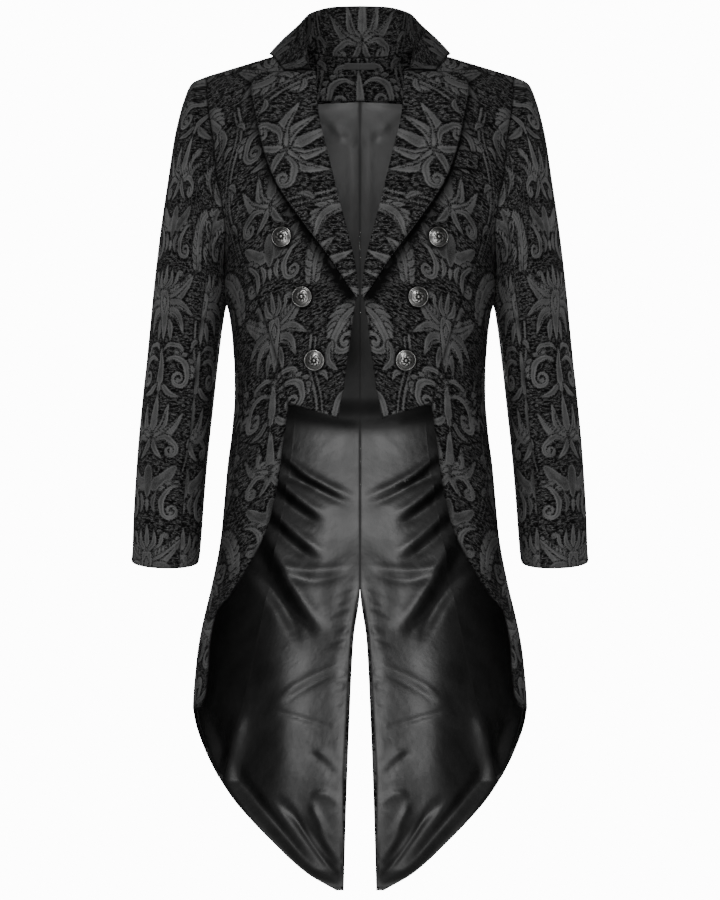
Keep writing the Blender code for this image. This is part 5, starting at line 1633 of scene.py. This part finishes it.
def make_label():
    x, z = np.meshgrid(np.linspace(-1, 1, 41) * LABEL_HALF_WIDTH, np.linspace(*LABEL_HEIGHTS, 11))
    face = back_inside(x, z, depth=FACING_DEPTH + LABEL_EASE)
    cloth_piece("label", face, as_place(x * 1000, z * 1000), no_motif(face), LABEL_CLOTH, lining_in,
                (WOVEN, WOVEN), "label_cloth", 2)


make_facing()
make_label()
print("inside is dressed")

# %% [markdown]
# ## Welt and buttons
# A breast pocket's welt lies on the wearer's left front. The buttons are cast domes with a raised rim
# and a rosette, silvered, then darkened in the hollows. A turned profile gives the dome; the rosette
# is a wave in height round it, so it is real relief and not paint.

# %% Breast welt
WELT_CLOTH, WELT_LIFT, WELT_SIZE = 0.0014, 0.0022, (0.030, 0.024)
WELT_GROOVE = (0.0026, 0.0007, 0.0004)          # how far inside the edge, how wide and how deep


def make_welt():
    a, b, c, d = np.stack(list(WELT.values()), -1)
    u, v = (t[..., None] for t in np.meshgrid(np.linspace(0, 1, 27), np.linspace(0, 1, 21)))
    corner = (1 - v) * ((1 - u) * a + u * b) + v * ((1 - u) * d + u * c)
    where = on_front(corner[..., 0], corner[..., 1])
    border = np.minimum(np.minimum(u, 1 - u) * WELT_SIZE[0], np.minimum(v, 1 - v) * WELT_SIZE[1])[..., 0]
    inset, width, depth = WELT_GROOVE
    face = body_point(*where, WELT_LIFT - depth * bell(border - inset, width))
    across, down = cut_place(*where)
    # painted shade round the welt's edges
    place = as_place(across + 40, down + 150, painted_edge_shade(face, 1.0, 1.0, 1.0, 1.0, 0.0024))
    cloth_piece("breast_welt", face, place, no_motif(face), WELT_CLOTH)


make_welt()


# %% Silver
def make_silver():
    """Bright where the relief is rubbed, dark in the hollows; `tile` holds how deep a vertex lies."""
    made, tree, shader = new_material("antique silver", Metallic=1.0)
    depth = part_of(tree, read(tree, "tile"), 0)
    stain = noise(tree, node(tree, "TexCoord").outputs["Object"], 420.0, 3.0)
    dark = ramp(tree, times_plus(tree, stain, 0.5, depth), 0.45, 0.95)
    rubbed, tarnished = (0.30, 0.296, 0.290, 1), (0.018, 0.018, 0.017, 1)
    feed(tree, shader, {"Base Color": blend_of(tree, dark, rubbed, tarnished),
                        "Roughness": ramp(tree, dark, 0, 1, 0.34, 0.6)})
    relief(tree, stain, shader, 0.0001)
    return made


SILVER = make_silver()
print("metal:", SILVER.name)

# %% A button's mesh
BUTTON_RADIUS, BUTTON_HEIGHT, BUTTON_SHARP = 0.013, 0.0085, 60
ROSETTE_HEIGHT, ROSETTE_SINK, ROSETTE_SWIRL, PETALS, BEADS = 0.00052, 0.0003, 1.4, 8, 16
BUTTON_PROFILE = columns("radius height", [     # dome, groove, raised rim, back and shank
    (0.000, 1.00), (0.400, 0.93), (0.720, 0.72), (0.860, 0.58), (0.920, 0.70), (0.985, 0.66),
    (1.000, 0.60), (0.900, 0.42), (0.340, 0.34), (0.240, 0.00), (0.000, 0.00),
])


def ring_bands(number):
    """Quads between closed rings of numbered points."""
    after = np.roll(number, -1, axis=1)
    return np.stack([number[:-1], after[:-1], after[1:], number[1:]], -1)[..., ::-1].reshape(-1, 4).tolist()


def button_mesh(sectors=72):
    """A dome with a boss, a rosette of eight swirled petals, a ring, beads, a groove and a raised rim."""
    top = np.linspace(0.0, 0.985, 36)
    height = smooth(BUTTON_PROFILE["radius"][:6], BUTTON_PROFILE["height"][:6])(top) * BUTTON_HEIGHT
    turn = np.linspace(0, 2 * np.pi, sectors, endpoint=False)
    r, a = np.meshgrid(top, turn, indexing="ij")
    swept = PETALS / 2 * (a + ROSETTE_SWIRL * r)
    petal = np.abs(np.cos(swept)) ** 0.8 * bell(r - 0.44, 0.16)
    vein = bell(np.sin(swept), 0.16) * bell(r - 0.42, 0.12)
    boss = np.clip(1 - (r / 0.15) ** 2, 0, 1) ** 0.5
    beads = np.clip(np.cos(BEADS * a), 0, 1) ** 0.6 * bell(r - 0.755, 0.042)
    ring = bell(r - 0.655, 0.022)
    relief_share = 0.9 * petal - 0.45 * vein * petal + 0.9 * boss + 0.25 * beads + 0.4 * ring
    z = height[:, None] + ROSETTE_HEIGHT * relief_share - ROSETTE_SINK
    hollow = np.clip(0.85 - relief_share, 0, 1) * np.clip((0.66 - r) / 0.10, 0, 1)
    hollow = np.maximum(hollow, 0.95 * bell(r - 0.875, 0.035))
    rings = [np.stack([r * np.cos(a), r * np.sin(a), z / BUTTON_RADIUS], -1) * BUTTON_RADIUS]
    low = list(zip(BUTTON_PROFILE["radius"][6:], BUTTON_PROFILE["height"][6:]))[:-1]
    for radius, share in low:
        rings.append(np.stack([radius * BUTTON_RADIUS * np.cos(turn), radius * BUTTON_RADIUS * np.sin(turn),
                               np.full(sectors, share * BUTTON_HEIGHT)], -1)[None])
    points = np.concatenate(rings)
    deep = np.concatenate([hollow, np.full((len(low), sectors), 0.5)])
    count = len(points)
    number = np.arange(count * sectors).reshape(count, sectors)
    faces = ring_bands(number[1:])
    faces += np.stack([number[1], np.roll(number[1], -1), np.zeros(sectors, int)], -1)[:, ::-1].tolist()
    faces.append(number[-1].tolist())
    mesh = new_mesh("button", points, faces, tile=np.stack([deep.ravel()] * 3, -1))
    bm = bmesh.new()
    bm.from_mesh(mesh)
    bmesh.ops.delete(bm, geom=[v for v in bm.verts if not v.link_faces], context="VERTS")
    bmesh.ops.recalc_face_normals(bm, faces=bm.faces)
    bm.to_mesh(mesh)
    bm.free()
    return smoothed(mesh, BUTTON_SHARP)


print("rings of a button's profile:", len(BUTTON_PROFILE["radius"]))


# %% Buttons
def make_buttons():
    for side, sign in (("l", 1), ("r", -1)):
        for number, (x, z, foot) in enumerate(zip(*BUTTONS.values()), start=1):
            angle, drop = on_front(np.array(x), np.array(z))
            name = f"button_{side}{number}"
            made = add_piece(name + "_cast", button_mesh(), (SILVER,), "silver", [name])
            made.location = Vector(body_point(angle, drop, foot) * [sign, 1, 1])
            normal = Vector(body_normal(angle, drop) * [sign, 1, 1])
            made.rotation_euler = normal.to_track_quat("Z", "Y").to_euler()


make_buttons()
print("pieces:", len(PIECES))

# %% [markdown]
# ## Cloth facts
# The area of each sheet of cloth, half of its closed surface, and its spread, how wide and how long it
# is along its own threads, are printed below with its count of faces.


def cloth_area(made):
    """Half the closed surface, which is the cloth."""
    mesh = made.data
    areas = np.zeros(len(mesh.polygons))
    mesh.polygons.foreach_get("area", areas)
    return float(areas.sum() / 2)


for name, made in sorted(PIECES.items()):
    if name.endswith("_cloth"):
        spread = np.round(SPREAD[name.removesuffix("_cloth")], 4)
        print(name, "area", round(cloth_area(made), 5), "spread", spread, len(made.data.polygons))

# %% [markdown]
# ## Stage, light and camera
# The coat hangs over a pale floor that curves up into a wall all round it. Soft light from the front
# and above falls off round the sides, which gives dark cloth its shape, and three lights from behind
# keep the back readable.

# %% Stage
PAPER_GLOW, GLOW_SHARE = 14.0, 0.92


def make_paper():
    """White paper: the camera sees it evenly lit, and to everything else it is plain pale paper."""
    made, tree, shader = new_material("pale paper", Base_Color=grey(0.3), Roughness=1.0,
                                      Specular_IOR_Level=0.0)
    glow = node(tree, "Emission", {"Strength": PAPER_GLOW})
    seen = sum_of(tree, "MULTIPLY", node(tree, "LightPath").outputs["Is Camera Ray"], GLOW_SHARE)
    mixed = node(tree, "MixShader", {0: seen, 1: shader.outputs[0], 2: glow.outputs[0]})
    feed(tree, tree.nodes["Material Output"], {"Surface": mixed.outputs[0]})
    return made


def make_stage(radius=5.5, bend=1.6, height=5.0, floor=-2.40, sectors=64):
    """A round floor that curves up into a wall on every side."""
    profile = [(radius * 0.5, floor), (radius, floor)]
    profile += [(radius + bend * math.sin(t), floor + bend * (1 - math.cos(t)))
                for t in np.linspace(0.1, math.pi / 2, 12)]
    profile += [(radius + bend, height)]
    turn = np.linspace(0, 2 * np.pi, sectors, endpoint=False)
    points = [(r * math.cos(a), r * math.sin(a), z) for r, z in profile for a in turn] + [(0, 0, floor)]
    number = np.arange(len(points) - 1).reshape(-1, sectors)
    faces = ring_bands(number)
    faces += [(int(a), int(b), len(points) - 1) for a, b in zip(number[0], np.roll(number[0], -1))]
    mesh = new_mesh("floor", np.array(points), faces)
    mesh.shade_smooth()
    mesh.materials.append(make_paper())
    in_scene("floor", mesh)


make_stage()
print("stage ready")


# %% Lights
def area_light(name, place, target, size, power, size_y=None):
    """A soft light of a size in metres and a power in watts, turned to its target."""
    light = bpy.data.lights.new(name, "AREA")
    light.shape, light.size, light.size_y, light.energy = "RECTANGLE", size, size_y or size, power
    made = in_scene(name, light)
    made.location, made.visible_camera = place, False
    made.rotation_euler = (Vector(target) - Vector(place)).to_track_quat("-Z", "Y").to_euler()


MIDDLE = (0.0, 0.0, -0.5)
area_light("fill", (0.0, -4.4, -0.45), MIDDLE, 1.4, 22, 0.5)
area_light("low", (0.0, -3.6, -1.72), (0.0, 0.1, -0.6), 2.2, 48, 0.6)       # lifts the satin under the fronts
area_light("key", (-0.4, -3.4, 1.9), MIDDLE, 0.8, 82, 0.5)
area_light("left", (-3.0, -2.6, 0.2), MIDDLE, 1.0, 4, 2.0)
area_light("right", (3.0, -2.6, 0.2), MIDDLE, 1.0, 4, 2.0)
area_light("back", (0.0, 3.6, 0.6), MIDDLE, 2.0, 75)
area_light("back left", (-3.0, 1.6, 0.4), MIDDLE, 1.2, 22)
area_light("back right", (3.0, 1.6, 0.4), MIDDLE, 1.2, 22)
world = bpy.data.worlds.new("studio")
world.use_nodes = True
feed(world.node_tree, world.node_tree.nodes["Background"], {"Color": grey(0.9), "Strength": 0.02})
bpy.context.scene.world = world

# %% Camera
camera = bpy.data.cameras.new("camera")
camera.sensor_fit, camera.sensor_height, camera.lens = "VERTICAL", 24.0, 82.05
eye = in_scene("camera", camera)
eye.location = (0.0, -4.0, -0.5109)
eye.rotation_euler = (math.pi / 2, 0.0, 0.0)
bpy.context.scene.camera = eye
print("camera stands", -eye.location.y, "m in front")
